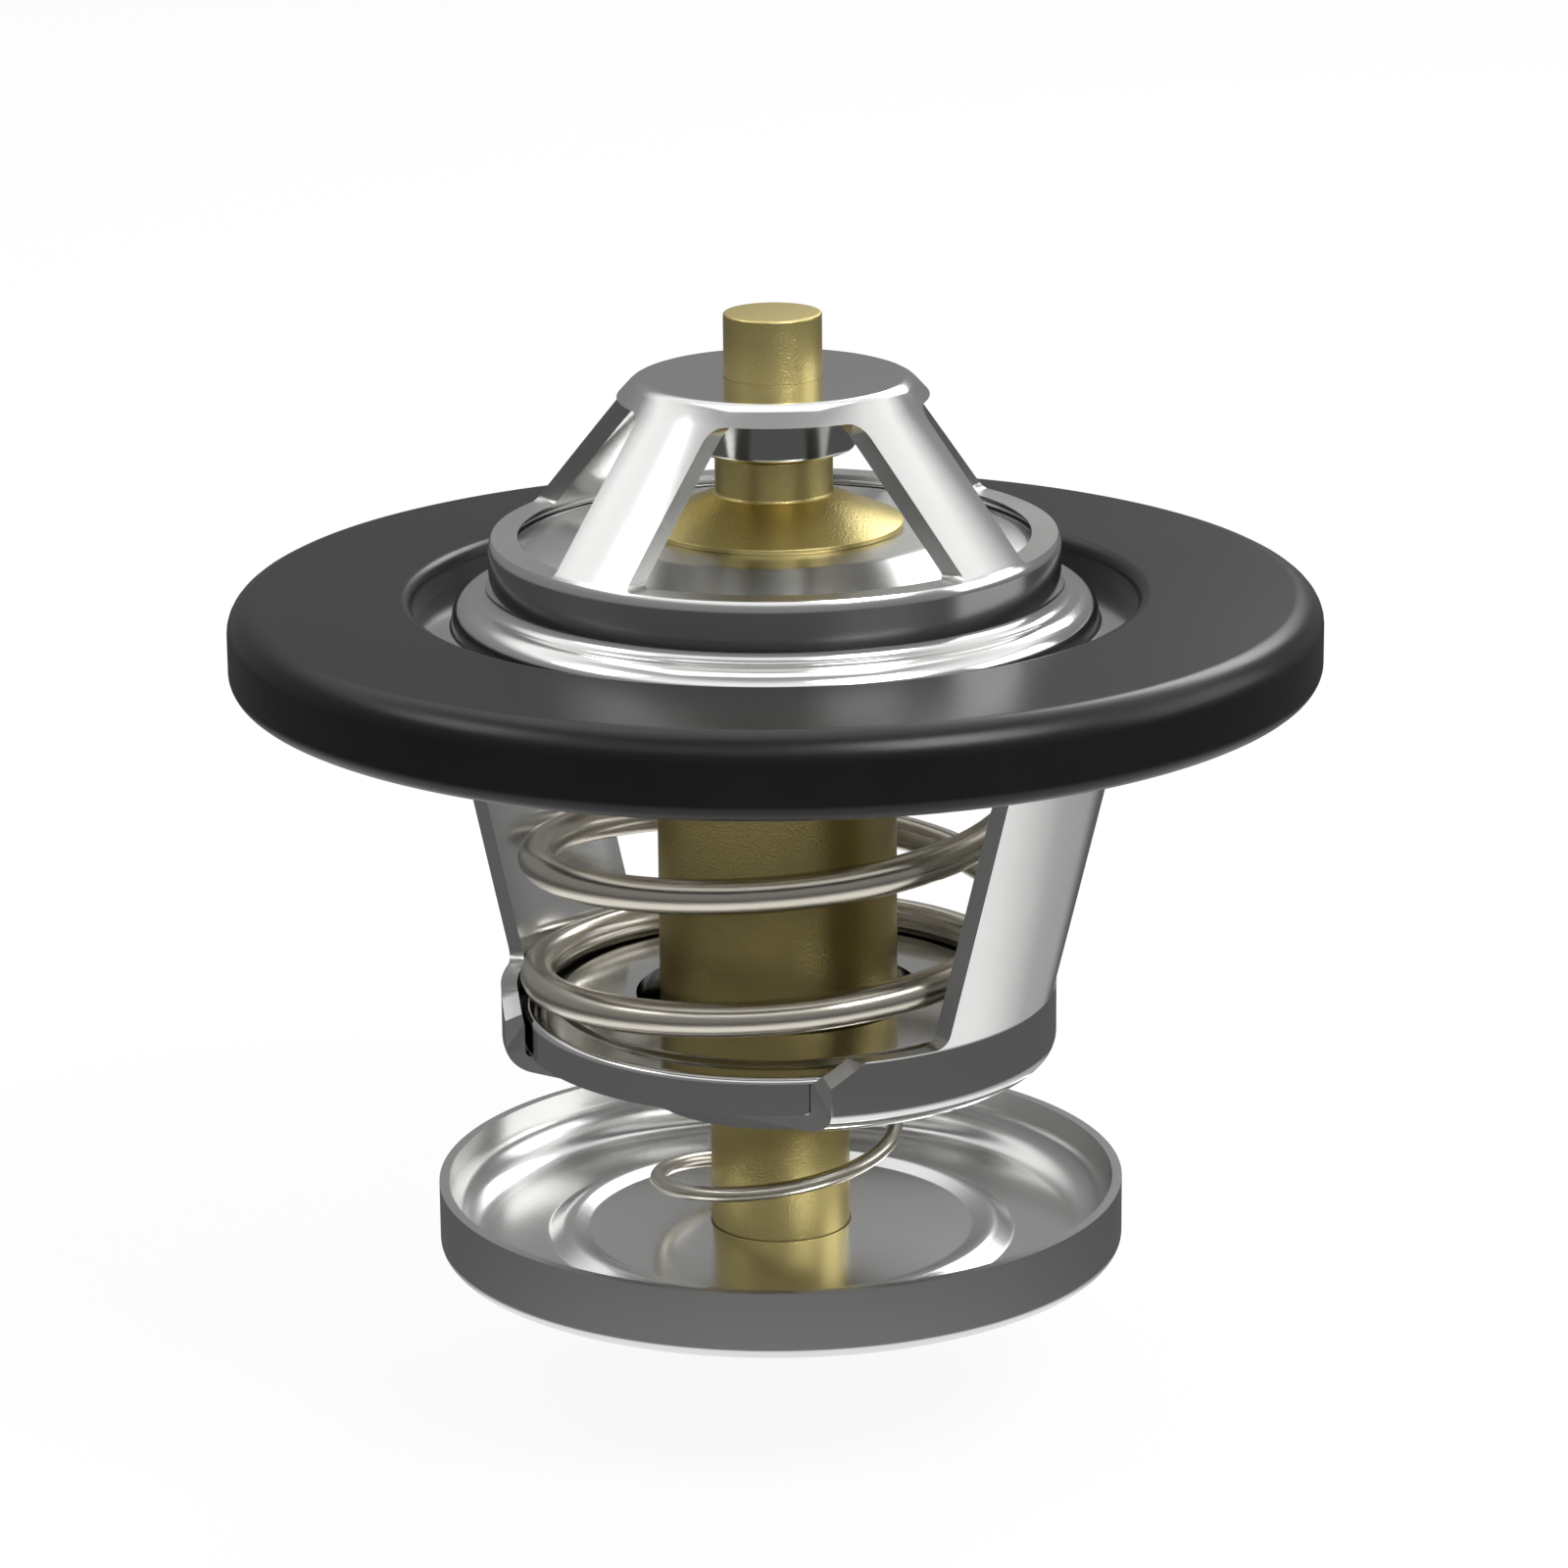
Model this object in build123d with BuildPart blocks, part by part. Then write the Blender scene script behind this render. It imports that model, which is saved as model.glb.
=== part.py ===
# Engine coolant regulating valve of the wax element type, with a rubber seal ring.
# Lengths in millimetres. The origin is on the axis, at mid height of the seal ring, and +Z points
# to the calibration stud. Azimuths are in degrees from -Y, growing towards +X.

from build123d import *
import math
import os

# Fits
press_gap = 0.03
slide_gap = 0.08
valve_gap = 0.20
packing_gap = 0.05

# Rubber seal ring
seal_r = 33.5
seal_height = 5.2
seal_top_round = 1.8
seal_bottom_round = 1.1
seal_lip_round = 0.8
seal_grip = 4.5
seal_heel = 7.0
seal_hole_gap = 2.4

# Upper bridge: one stamping with flange, step, hub, four legs and crown
bridge_sheet = 1.2
hub_r = 17.5
step_width = 2.3
step_height = 1.9
shoulder_height = 5.4
sill_height = 5.6
crown_r = 8.4
crown_height = 15.35
hub_foot_bend = 1.3
step_bend = 0.7
flange_bend = 0.85
shoulder_bend = 0.7
crown_bend = 0.75
leg_count = 4
leg_width = 5.6
leg_azimuth = 50
window_corner = 0.8
sill_corner = 0.4

# Stud, bush and piston
stud_r = 3.0
stud_rise = 3.9
stud_edge = 0.15
stud_foot = 0.4
bush_r = 5.0
bush_length = 3.2
bush_edge = 0.3
piston_r = 1.95
piston_length = 33.0
piston_tip_length = 2.4
piston_tip_r = 0.7
piston_socket = 2.6

# Wax element: guide, cup, boot and filling
neck_wall = 1.65
neck_clearance = 0.3
neck_length = 2.45
cone_height = 2.15
guide_overhang = 0.5
guide_base_round = 0.15
neck_root_round = 0.3
neck_edge = 0.2
guide_spigot = 4.6
cup_r = 7.4
cup_wall = 0.8
cup_reach = 1.5
cup_floor = 1.6
cup_foot_round = 1.0
crimp_drop = 3.3
crimp_depth = 0.35
crimp_width = 1.6
boot_wall = 1.15
boot_flange = 0.8
boot_tip_wall = 1.6
boot_tip_round = 1.2
boot_tip_space = 0.3

# Main valve
valve_sheet = 0.9
valve_flat_width = 3.0
valve_lift_angle = 14.0
valve_bend = 2.0

# Main spring
spring_wire = 2.2
spring_side_gap = 0.2
spring_pitch = 7.7
spring_start = 45
spring_ease = 45
coil_step = 45
spring_dead_bottom = 200
spring_dead_top = 250

# Spring retainer
retainer_sheet = 0.9
retainer_tuck = 0.1
retainer_hole_gap = 1.5
retainer_locating_gap = 0.3
retainer_ledge = 0.35
retainer_skirt = 2.7
retainer_bend = 0.6
ledge_bend = 0.5

# Lower frame: one stamping with base, two feet, two straps and the guide collar
frame_sheet = 1.0
frame_depth = 26.9
foot_gap = 0.3
foot_width = 24.8
foot_height = 4.5
foot_bend = 0.8
foot_corner_across = 1.6
foot_corner_down = 1.5
strap_width = 12.0
strap_azimuth = 56
strap_root_round = 0.8
strap_foot_bend = 0.9
tab_length = 3.2
tab_gap = 1.05
tab_bend = 1.0
collar_drop = 2.5
collar_bend = 1.0

# Bypass valve
stem_r = 4.35
stem_nose_r = 2.0
stem_nose = 0.8
stem_edge = 0.1
disc_r = 21.45
disc_sheet = 0.6
disc_seat_drop = 9.9
disc_depth = 4.3
disc_floor_width = 6.8
disc_bead_width = 2.6
disc_bead_rise = 0.45
disc_cone_drop = 0.35
disc_floor_drop = 0.6
disc_rim_bend = 0.55
disc_bead_bend = 0.8
bypass_wire = 1.0
bypass_tuck = 0.35
bypass_flare = 1.35
bypass_pitch = 7.2
bypass_start = 150
bypass_dead_top = 290
bypass_taper_power = 1.6
clip_wire = 0.4
clip_gap_angle = 70
floor_gap = 0.05

# Radii that follow from the sizes above
flange_r = seal_r - seal_grip
seal_heel_r = seal_r - seal_heel
step_r = hub_r + step_width
seal_hole_r = step_r + seal_hole_gap
neck_r = piston_r + neck_wall
guide_base_r = cup_r + guide_overhang
valve_flat_r = guide_base_r + valve_flat_width
spring_outer_r = hub_r - bridge_sheet - spring_side_gap
spring_mean_r = spring_outer_r - spring_wire / 2
spring_inner_r = spring_outer_r - spring_wire
retainer_r = spring_outer_r - retainer_tuck
retainer_centre_r = spring_inner_r - retainer_locating_gap
disc_bead_r = disc_r - disc_floor_width
disc_crest_r = disc_bead_r - disc_bead_width / 2
disc_centre_r = disc_bead_r - disc_bead_width
bypass_top_r = cup_r - bypass_wire / 2 - bypass_tuck
bypass_bottom_r = bypass_top_r + bypass_flare

# Heights that follow from the sizes above
flange_top = bridge_sheet / 2
crown_top = flange_top + crown_height
crown_under = crown_top - bridge_sheet
bush_bottom = crown_under - bush_length
neck_top = bush_bottom - neck_clearance
cone_top = neck_top - neck_length
valve_top = cone_top - cone_height
base_bottom = -frame_depth
cup_bottom = base_bottom - cup_reach
base_top = base_bottom + frame_sheet
retainer_top = base_top + retainer_skirt
ledge_top = retainer_top - retainer_ledge
collar_bottom = base_bottom - collar_drop
disc_top = cup_bottom - disc_seat_drop
disc_foot = disc_top - disc_floor_drop - disc_sheet


def sheet_ring(centre_line, bends, sheet):
    """Revolve a sheet section, given by its middle line from the axis side outwards."""
    with BuildPart() as ring:
        with BuildSketch(Plane.XZ):
            with BuildLine():
                FilletPolyline(*centre_line, radius=bends)
            trace(line_width=sheet)
        revolve(axis=Axis.Z)
    return ring.part


def coil(points, wire):
    """Sweep a round wire along a smooth curve through the points."""
    with BuildPart() as spring:
        with BuildLine() as centre:
            Spline(*points)
        with BuildSketch(Plane(origin=centre.line @ 0, z_dir=centre.line % 0)):
            Circle(wire / 2)
        sweep(is_frenet=True)
    return spring.part


def at_azimuth(azimuth, radius, z):
    """Give the point at this azimuth, distance from the axis and height."""
    angle = math.radians(azimuth - 90)
    return (radius * math.cos(angle), radius * math.sin(angle), z)


def eased(turned, ease):
    """Give zero before the angle zero and the angle after it, with a smooth change over the ease."""
    if abs(turned) < ease:
        return (turned + ease) ** 2 / (4 * ease)
    return max(turned, 0)


def save(part, name):
    """Label one finished piece and write its STEP file."""
    part.label = name
    export_step(part, f"parts/{name}.step")


os.makedirs("parts", exist_ok=True)


# Seal ring: moulded rubber with an inner groove that grips the edge of the flange
with BuildPart() as seal_ring:
    with BuildSketch(Plane.XZ):
        with BuildLine():
            Polyline(
                (seal_hole_r, flange_top),
                (seal_hole_r, seal_height / 2),
                (seal_r, seal_height / 2),
                (seal_r, -seal_height / 2),
                (seal_heel_r, -seal_height / 2),
                (seal_heel_r, -flange_top),
                (flange_r + packing_gap, -flange_top),
                (flange_r + packing_gap, flange_top),
                close=True,
            )
        make_face()
    revolve(axis=Axis.Z)
    rims = seal_ring.edges().filter_by(GeomType.CIRCLE)
    top_rims = rims.group_by(Axis.Z)[-1].sort_by(SortBy.RADIUS)
    bottom_rims = rims.group_by(Axis.Z)[0].sort_by(SortBy.RADIUS)
    fillet(top_rims[-1], seal_top_round)
    fillet(top_rims[0], seal_lip_round)
    fillet(bottom_rims[-1], seal_bottom_round)
    fillet(bottom_rims[0], seal_lip_round)
save(seal_ring.part, "seal_ring")


# Upper bridge: the middle line of the sheet, from the stud hole out to the flange edge
half_bridge = bridge_sheet / 2
cone_turn = math.atan2(crown_height - shoulder_height, hub_r - crown_r)
wall_turn = math.pi / 2 - cone_turn
crown_corner_r = crown_r - half_bridge * math.tan(cone_turn / 2)
shoulder_z = flange_top + shoulder_height - half_bridge * math.tan(wall_turn / 2)
step_z = flange_top + step_height - half_bridge
bridge_line = [
    (stud_r + press_gap, crown_top - half_bridge),
    (crown_corner_r, crown_top - half_bridge),
    (hub_r - half_bridge, shoulder_z),
    (hub_r - half_bridge, step_z),
    (step_r - half_bridge, step_z),
    (step_r - half_bridge, 0),
    (flange_r, 0),
]
bridge_bends = [crown_bend, shoulder_bend, hub_foot_bend, step_bend, flange_bend]
sill_z = flange_top + sill_height

# Windows between the legs: a ring of the cage's height, less one slab for each leg
with BuildPart() as windows:
    with BuildSketch(Plane.XY.offset(sill_z)):
        Circle(hub_r + bridge_sheet)
        Circle(bush_r + bridge_sheet, mode=Mode.SUBTRACT)
    extrude(amount=crown_under - sill_z)
    with BuildSketch(Plane.XY.offset(sill_z)):
        with PolarLocations(hub_r, leg_count, start_angle=leg_azimuth - 90):
            Rectangle(2 * hub_r - 2 * stud_r, leg_width)
    extrude(amount=crown_under - sill_z, mode=Mode.SUBTRACT)
    leg_sides = windows.edges().filter_by(GeomType.LINE).filter_by(Plane.XY)
    fillet(leg_sides.group_by(Axis.Z)[-1], window_corner)
    fillet(leg_sides.group_by(Axis.Z)[0], sill_corner)

with BuildPart() as upper_bridge:
    add(sheet_ring(bridge_line, bridge_bends, bridge_sheet))
    add(windows.part, mode=Mode.SUBTRACT)
save(upper_bridge.part, "upper_bridge")


# Stud bush: steel collar under the crown that holds the stud
with BuildPart() as stud_bush:
    with BuildSketch(Plane.XY.offset(bush_bottom)):
        Circle(bush_r)
        Circle(stud_r + press_gap, mode=Mode.SUBTRACT)
    extrude(amount=bush_length)
    outer_rims = stud_bush.edges().filter_by(GeomType.CIRCLE).group_by(SortBy.RADIUS)[-1]
    chamfer(outer_rims.sort_by(Axis.Z)[0], bush_edge)
save(stud_bush.part, "stud_bush")


# Calibration stud: brass pin through crown and bush, with the socket for the piston
with BuildPart() as calibration_stud:
    with BuildSketch(Plane.XY.offset(bush_bottom + stud_foot)):
        Circle(stud_r)
    extrude(amount=crown_top + stud_rise - bush_bottom - stud_foot)
    stud_rims = calibration_stud.edges().filter_by(GeomType.CIRCLE)
    chamfer(stud_rims, stud_edge)
    with BuildSketch(Plane.XY.offset(bush_bottom + stud_foot)):
        Circle(piston_r + press_gap)
    extrude(amount=piston_socket, mode=Mode.SUBTRACT)
save(calibration_stud.part, "calibration_stud")


# Piston: polished rod with a tapered tip, held in the stud
piston_top = bush_bottom + stud_foot + piston_socket
piston_bottom = piston_top - piston_length
with BuildPart() as piston:
    with BuildSketch(Plane.XZ):
        with BuildLine():
            Polyline(
                (0, piston_bottom),
                (piston_tip_r, piston_bottom),
                (piston_r, piston_bottom + piston_tip_length),
                (piston_r, piston_top),
                (0, piston_top),
                close=True,
            )
        make_face()
    revolve(axis=Axis.Z)
save(piston.part, "piston")


# Element cup: drawn brass cup with the crimp groove that locks the guide
cup_middle_r = cup_r - cup_wall / 2
crimp_z = valve_top - crimp_drop
crimp_middle_r = cup_middle_r - crimp_depth
with BuildPart() as element_cup:
    with BuildSketch(Plane.XZ):
        with BuildLine():
            FilletPolyline(
                (0, cup_bottom + cup_wall / 2),
                (cup_middle_r, cup_bottom + cup_wall / 2),
                (cup_middle_r, crimp_z - crimp_width / 2),
                (crimp_middle_r, crimp_z),
                (cup_middle_r, crimp_z + crimp_width / 2),
                (cup_middle_r, valve_top),
                radius=[cup_foot_round, crimp_width / 2, crimp_width / 2, crimp_width / 2],
            )
        trace(line_width=cup_wall)
    revolve(axis=Axis.Z)
    with BuildSketch(Plane.XY.offset(cup_bottom + cup_wall / 2)):
        Circle(cup_r - cup_wall)
    extrude(amount=cup_floor - cup_wall / 2)
    with BuildSketch(Plane.XY.offset(cup_bottom)):
        Circle(stem_nose_r + press_gap)
    extrude(amount=stem_nose + packing_gap, mode=Mode.SUBTRACT)
save(element_cup.part, "element_cup")
cup_bore_r = cup_r - cup_wall
crimp_bore_r = crimp_middle_r - cup_wall / 2


# Element guide: turned brass neck and cone, with the spigot that the cup is crimped to
guide_bottom = valve_top - guide_spigot
with BuildPart() as element_guide:
    with BuildSketch(Plane.XZ):
        with BuildLine():
            Polyline(
                (piston_r + slide_gap, neck_top),
                (neck_r, neck_top),
                (neck_r, cone_top),
                (guide_base_r, valve_top + 2 * guide_base_round),
                (guide_base_r, valve_top),
                (cup_bore_r - packing_gap, valve_top),
                (cup_bore_r - packing_gap, crimp_z + crimp_width / 2 + crimp_depth),
                (crimp_bore_r - packing_gap, crimp_z + crimp_width / 2),
                (crimp_bore_r - packing_gap, crimp_z - crimp_width / 2),
                (cup_bore_r - packing_gap, crimp_z - crimp_width / 2 - crimp_depth),
                (cup_bore_r - packing_gap, guide_bottom),
                (piston_r + slide_gap, guide_bottom),
                close=True,
            )
        make_face()
    revolve(axis=Axis.Z)
    guide_rims = element_guide.edges().filter_by(GeomType.CIRCLE)
    base_rims = guide_rims.group_by(SortBy.RADIUS)[-1]
    fillet(base_rims.sort_by(Axis.Z)[-1], guide_base_round)
    fillet(guide_rims.filter_by_position(Axis.Z, cone_top - 0.01, cone_top + 0.01), neck_root_round)
    chamfer(guide_rims.group_by(Axis.Z)[-1].sort_by(SortBy.RADIUS)[-1], neck_edge)
save(element_guide.part, "element_guide")


# Piston boot: rubber sleeve with a closed tip, clamped under the guide by its flange
boot_bore_r = piston_r + slide_gap
boot_floor = piston_bottom - boot_tip_space
with BuildPart() as piston_boot:
    with BuildSketch(Plane.XZ):
        with BuildLine():
            Polyline(
                (0, boot_floor),
                (boot_bore_r, boot_floor),
                (boot_bore_r, guide_bottom),
                (cup_bore_r - packing_gap, guide_bottom),
                (cup_bore_r - packing_gap, guide_bottom - boot_flange),
                (boot_bore_r + boot_wall, guide_bottom - boot_flange),
                (boot_bore_r + boot_wall, boot_floor - boot_tip_wall),
                (0, boot_floor - boot_tip_wall),
                close=True,
            )
        make_face()
    revolve(axis=Axis.Z)
    tip_rim = piston_boot.edges().filter_by(GeomType.CIRCLE).sort_by(Axis.Z)[0]
    fillet(tip_rim, boot_tip_round)
save(piston_boot.part, "piston_boot")


# Wax charge: fills the cup around the boot
with BuildPart() as wax_charge:
    with BuildSketch(Plane.XY.offset(cup_bottom + cup_floor)):
        Circle(cup_bore_r - packing_gap)
    extrude(amount=guide_bottom - boot_flange - cup_bottom - cup_floor)
    with BuildSketch(Plane.XY.offset(boot_floor - boot_tip_wall - packing_gap)):
        Circle(boot_bore_r + boot_wall + packing_gap)
    extrude(until=Until.LAST, mode=Mode.SUBTRACT)
save(wax_charge.part, "wax_charge")


# Main valve: pressed plate with a sloping skirt that closes inside the hub
half_valve = valve_sheet / 2
valve_slope = math.radians(valve_lift_angle)
valve_rim_r = hub_r - bridge_sheet - valve_gap - half_valve * math.sin(valve_slope)
valve_rim_drop = (valve_rim_r - valve_flat_r) * math.tan(valve_slope)
valve_line = [
    (cup_r + press_gap, valve_top - half_valve),
    (valve_flat_r, valve_top - half_valve),
    (valve_rim_r, valve_top - half_valve - valve_rim_drop),
]
with BuildPart() as main_valve:
    add(sheet_ring(valve_line, valve_bend, valve_sheet))
save(main_valve.part, "main_valve")


# Main spring: one flat end turn on the retainer, active turns, one flat end turn at the valve
spring_low = ledge_top + spring_wire / 2
spring_slope_drop = (spring_mean_r - valve_flat_r) * math.tan(valve_slope)
spring_seat = (valve_sheet + spring_wire / 2) / math.cos(valve_slope) + packing_gap
spring_high = valve_top - spring_slope_drop - spring_seat
spring_lift = 360 * (spring_high - spring_low) / spring_pitch
spring_sweep = spring_dead_bottom + spring_lift + spring_dead_top
spring_count = round(spring_sweep / coil_step)
spring_points = []
for step in range(spring_count + 1):
    turned = spring_sweep * step / spring_count
    lifted = eased(turned - spring_dead_bottom, spring_ease)
    lifted = lifted - eased(turned - spring_dead_bottom - spring_lift, spring_ease)
    height = spring_low + spring_pitch * lifted / 360
    spring_points.append(at_azimuth(spring_start + turned, spring_mean_r, height))
with BuildPart() as main_spring:
    add(coil(spring_points, spring_wire))
save(main_spring.part, "main_spring")


# Spring retainer: inverted shallow cup with a stepped top, standing on the frame base
half_retainer = retainer_sheet / 2
retainer_line = [
    (cup_r + retainer_hole_gap, retainer_top - half_retainer),
    (retainer_centre_r, retainer_top - half_retainer),
    (retainer_centre_r + retainer_ledge, ledge_top - half_retainer),
    (retainer_r - half_retainer, ledge_top - half_retainer),
    (retainer_r - half_retainer, base_top),
]
with BuildPart() as spring_retainer:
    add(sheet_ring(retainer_line, [ledge_bend, ledge_bend, retainer_bend], retainer_sheet))
save(spring_retainer.part, "spring_retainer")


# Lower frame: the middle line of the sheet, from the collar's lower rim out to the tab's end
half_frame = frame_sheet / 2
collar_r = cup_r + slide_gap + half_frame
foot_r = retainer_r + foot_gap + half_frame
foot_top = base_bottom + foot_height
tab_z = -flange_top - half_frame
tab_end_r = seal_heel_r - tab_gap
strap_top_r = tab_end_r - tab_length
frame_line = [
    (collar_r, collar_bottom),
    (collar_r, base_top - half_frame),
    (foot_r, base_top - half_frame),
    (foot_r, foot_top),
    (strap_top_r, tab_z),
    (tab_end_r, tab_z),
]
frame_bends = [collar_bend, foot_bend, strap_foot_bend, tab_bend]
frame_reach = tab_end_r + frame_sheet

with BuildPart() as lower_frame:
    add(sheet_ring(frame_line, frame_bends, frame_sheet))
    # The blank's outline, seen along the straps
    with BuildSketch(Plane.XZ.rotated((0, 0, strap_azimuth))) as blank:
        with BuildLine() as outline:
            Polyline(
                (0, collar_bottom - frame_sheet),
                (foot_width / 2, collar_bottom - frame_sheet),
                (foot_width / 2, foot_top - foot_corner_down),
                (foot_width / 2 - foot_corner_across, foot_top),
                (strap_width / 2, foot_top),
                (strap_width / 2, 0),
                (0, 0),
            )
            mirror(about=Plane.YZ)
        make_face()
        strap_roots = blank.vertices().filter_by_position(Axis.Y, foot_top - 0.01, foot_top + 0.01)
        fillet(strap_roots.filter_by_position(Axis.X, -strap_width, strap_width), strap_root_round)
    extrude(amount=frame_reach, both=True, mode=Mode.INTERSECT)
save(lower_frame.part, "lower_frame")


# Bypass disc: pressed pan with a slightly raised centre, a round bead and a rim
half_disc = disc_sheet / 2
disc_edge_z = disc_top - half_disc - disc_cone_drop
disc_line = [
    (stem_r + slide_gap, disc_top - half_disc),
    (disc_centre_r, disc_edge_z),
    (disc_crest_r, disc_edge_z + disc_bead_rise),
    (disc_bead_r, disc_foot + half_disc),
    (disc_r - half_disc, disc_foot + half_disc),
    (disc_r - half_disc, disc_foot + disc_depth),
]
with BuildPart() as bypass_disc:
    add(sheet_ring(disc_line, [disc_bead_bend, disc_bead_bend, disc_bead_bend, disc_rim_bend], disc_sheet))
save(bypass_disc.part, "bypass_disc")


# Bypass stem: turned brass pin with a nose in the cup's floor and a groove for the clip
clip_z = disc_top - disc_sheet - packing_gap - clip_wire / 2
with BuildPart() as bypass_stem:
    with BuildSketch(Plane.XY.offset(disc_foot + floor_gap)):
        Circle(stem_r)
    extrude(amount=cup_bottom - disc_foot - floor_gap)
    chamfer(bypass_stem.faces().sort_by(Axis.Z)[0].edges(), stem_edge)
    with BuildSketch(Plane.XY.offset(cup_bottom)):
        Circle(stem_nose_r)
    extrude(amount=stem_nose)
    with BuildSketch(Plane.XZ):
        with Locations((stem_r, clip_z)):
            Circle(clip_wire / 2)
    revolve(axis=Axis.Z, mode=Mode.SUBTRACT)
save(bypass_stem.part, "bypass_stem")


# Stem clip: open ring of spring wire that snaps into the groove
clip_start = clip_gap_angle / 2
clip_sweep = 360 - clip_gap_angle
clip_points = []
clip_count = round(clip_sweep / coil_step)
for step in range(clip_count + 1):
    clip_points.append(at_azimuth(clip_start + clip_sweep * step / clip_count, stem_r, clip_z))
with BuildPart() as stem_clip:
    add(coil(clip_points, clip_wire - 2 * press_gap))
save(stem_clip.part, "stem_clip")


# Bypass spring: tapered coil, wide on the disc and narrow under the element
bypass_seat_drop = disc_cone_drop * (bypass_bottom_r - stem_r) / (disc_centre_r - stem_r)
bypass_low = disc_top - bypass_seat_drop + packing_gap + bypass_wire / 2
bypass_high = cup_bottom - bypass_wire / 2
bypass_lift = 360 * (bypass_high - bypass_low) / bypass_pitch
bypass_sweep = bypass_lift + bypass_dead_top
bypass_count = round(bypass_sweep / coil_step)
bypass_points = []
for step in range(bypass_count + 1):
    turned = bypass_sweep * step / bypass_count
    lifted = turned - eased(turned - bypass_lift, spring_ease)
    risen = lifted / bypass_lift
    radius = bypass_bottom_r - bypass_flare * risen**bypass_taper_power
    height = bypass_low + bypass_pitch * lifted / 360
    bypass_points.append(at_azimuth(bypass_start + turned, radius, height))
with BuildPart() as bypass_spring:
    add(coil(bypass_points, bypass_wire))
save(bypass_spring.part, "bypass_spring")
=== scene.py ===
"""Looks of an engine coolant valve of the wax element type.

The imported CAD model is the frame. Each visible piece is modelled again as a smooth mesh of the
same size, stands for its CAD node, rides on the same body and gets a procedural finish.
Lengths are in millimetres until a mesh is finished. Azimuths are in degrees from -Y, growing
towards +X.
"""

import logging
import math
from abc import ABC, abstractmethod
from collections.abc import Callable, Sequence
from dataclasses import dataclass
from enum import Enum

import bmesh
import bpy
from mathutils import Matrix, Vector


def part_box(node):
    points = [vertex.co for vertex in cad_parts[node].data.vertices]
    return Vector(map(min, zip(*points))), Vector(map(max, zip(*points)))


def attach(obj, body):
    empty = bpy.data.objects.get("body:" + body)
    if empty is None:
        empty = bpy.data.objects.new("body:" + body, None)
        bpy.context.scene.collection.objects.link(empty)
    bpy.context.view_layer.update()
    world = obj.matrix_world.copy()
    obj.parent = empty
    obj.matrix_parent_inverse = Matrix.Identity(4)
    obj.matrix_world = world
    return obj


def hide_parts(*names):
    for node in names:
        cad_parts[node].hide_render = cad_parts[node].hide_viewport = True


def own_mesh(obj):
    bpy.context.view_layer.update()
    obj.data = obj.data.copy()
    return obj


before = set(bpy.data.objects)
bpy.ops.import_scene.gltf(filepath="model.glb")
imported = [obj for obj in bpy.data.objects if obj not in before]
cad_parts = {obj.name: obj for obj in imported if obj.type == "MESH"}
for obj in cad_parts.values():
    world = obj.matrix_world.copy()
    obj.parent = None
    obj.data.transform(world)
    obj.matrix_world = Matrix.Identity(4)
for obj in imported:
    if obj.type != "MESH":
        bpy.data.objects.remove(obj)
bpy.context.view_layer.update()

logging.basicConfig(level=logging.INFO, format="%(message)s")
log = logging.getLogger("valve")

MM = 0.001
UP = Vector((0, 0, 1))
# Steeper edges than this stay sharp, and a rounded corner has a segment for each arc step.
SMOOTH_LIMIT = math.radians(32)
ARC_STEP = math.radians(11)
FEWEST_SEGMENTS = 2
# The material number of the sheared edges of a pressed piece.
EDGE_NUMBER = 1
# In millimetres: a plane touches a point this near, and cuts leave doubles up to the weld apart.
TOUCH = 0.0005
WELD = 0.002
# A band of an outline that is lower than this isn't cut.
THIN_BAND = 0.004
# A cosine below any direction's, so that a cut reaches all round.
ALL_ROUND = -2.0


class Body(Enum):
    """The rigid bodies of the frame."""

    HOUSING = "housing_side"
    ELEMENT = "element"
    BYPASS = "bypass"


class Lay(Enum):
    """The way in which a metal's fine marks run."""

    TURNED = "turned"
    DRAWN = "drawn"
    ROLLED = "rolled"


def at_azimuth(azimuth: float, radius: float, height: float) -> Vector:
    """Give a point by its azimuth, its distance from the axis and its height.

    Args:
        azimuth: Degrees from -Y, growing towards +X.
        radius: Distance from the axis.
        height: Height above the origin.

    Returns:
        The point, in the same unit as the radius and the height.
    """
    angle = math.radians(azimuth - 90)
    return Vector((radius * math.cos(angle), radius * math.sin(angle), height))


def eased(turned: float, ease: float) -> float:
    """Give zero before the angle zero and the angle after it, smoothly changed over the ease."""
    if abs(turned) < ease:
        return (turned + ease) ** 2 / (4 * ease)
    return max(turned, 0.0)


def put_in_scene(name: str, data: bpy.types.ID) -> bpy.types.Object:
    """Make an object of a mesh, a light or a camera and link it to the scene."""
    made = bpy.data.objects.new(name, data)
    bpy.context.scene.collection.objects.link(made)
    return made


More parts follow.
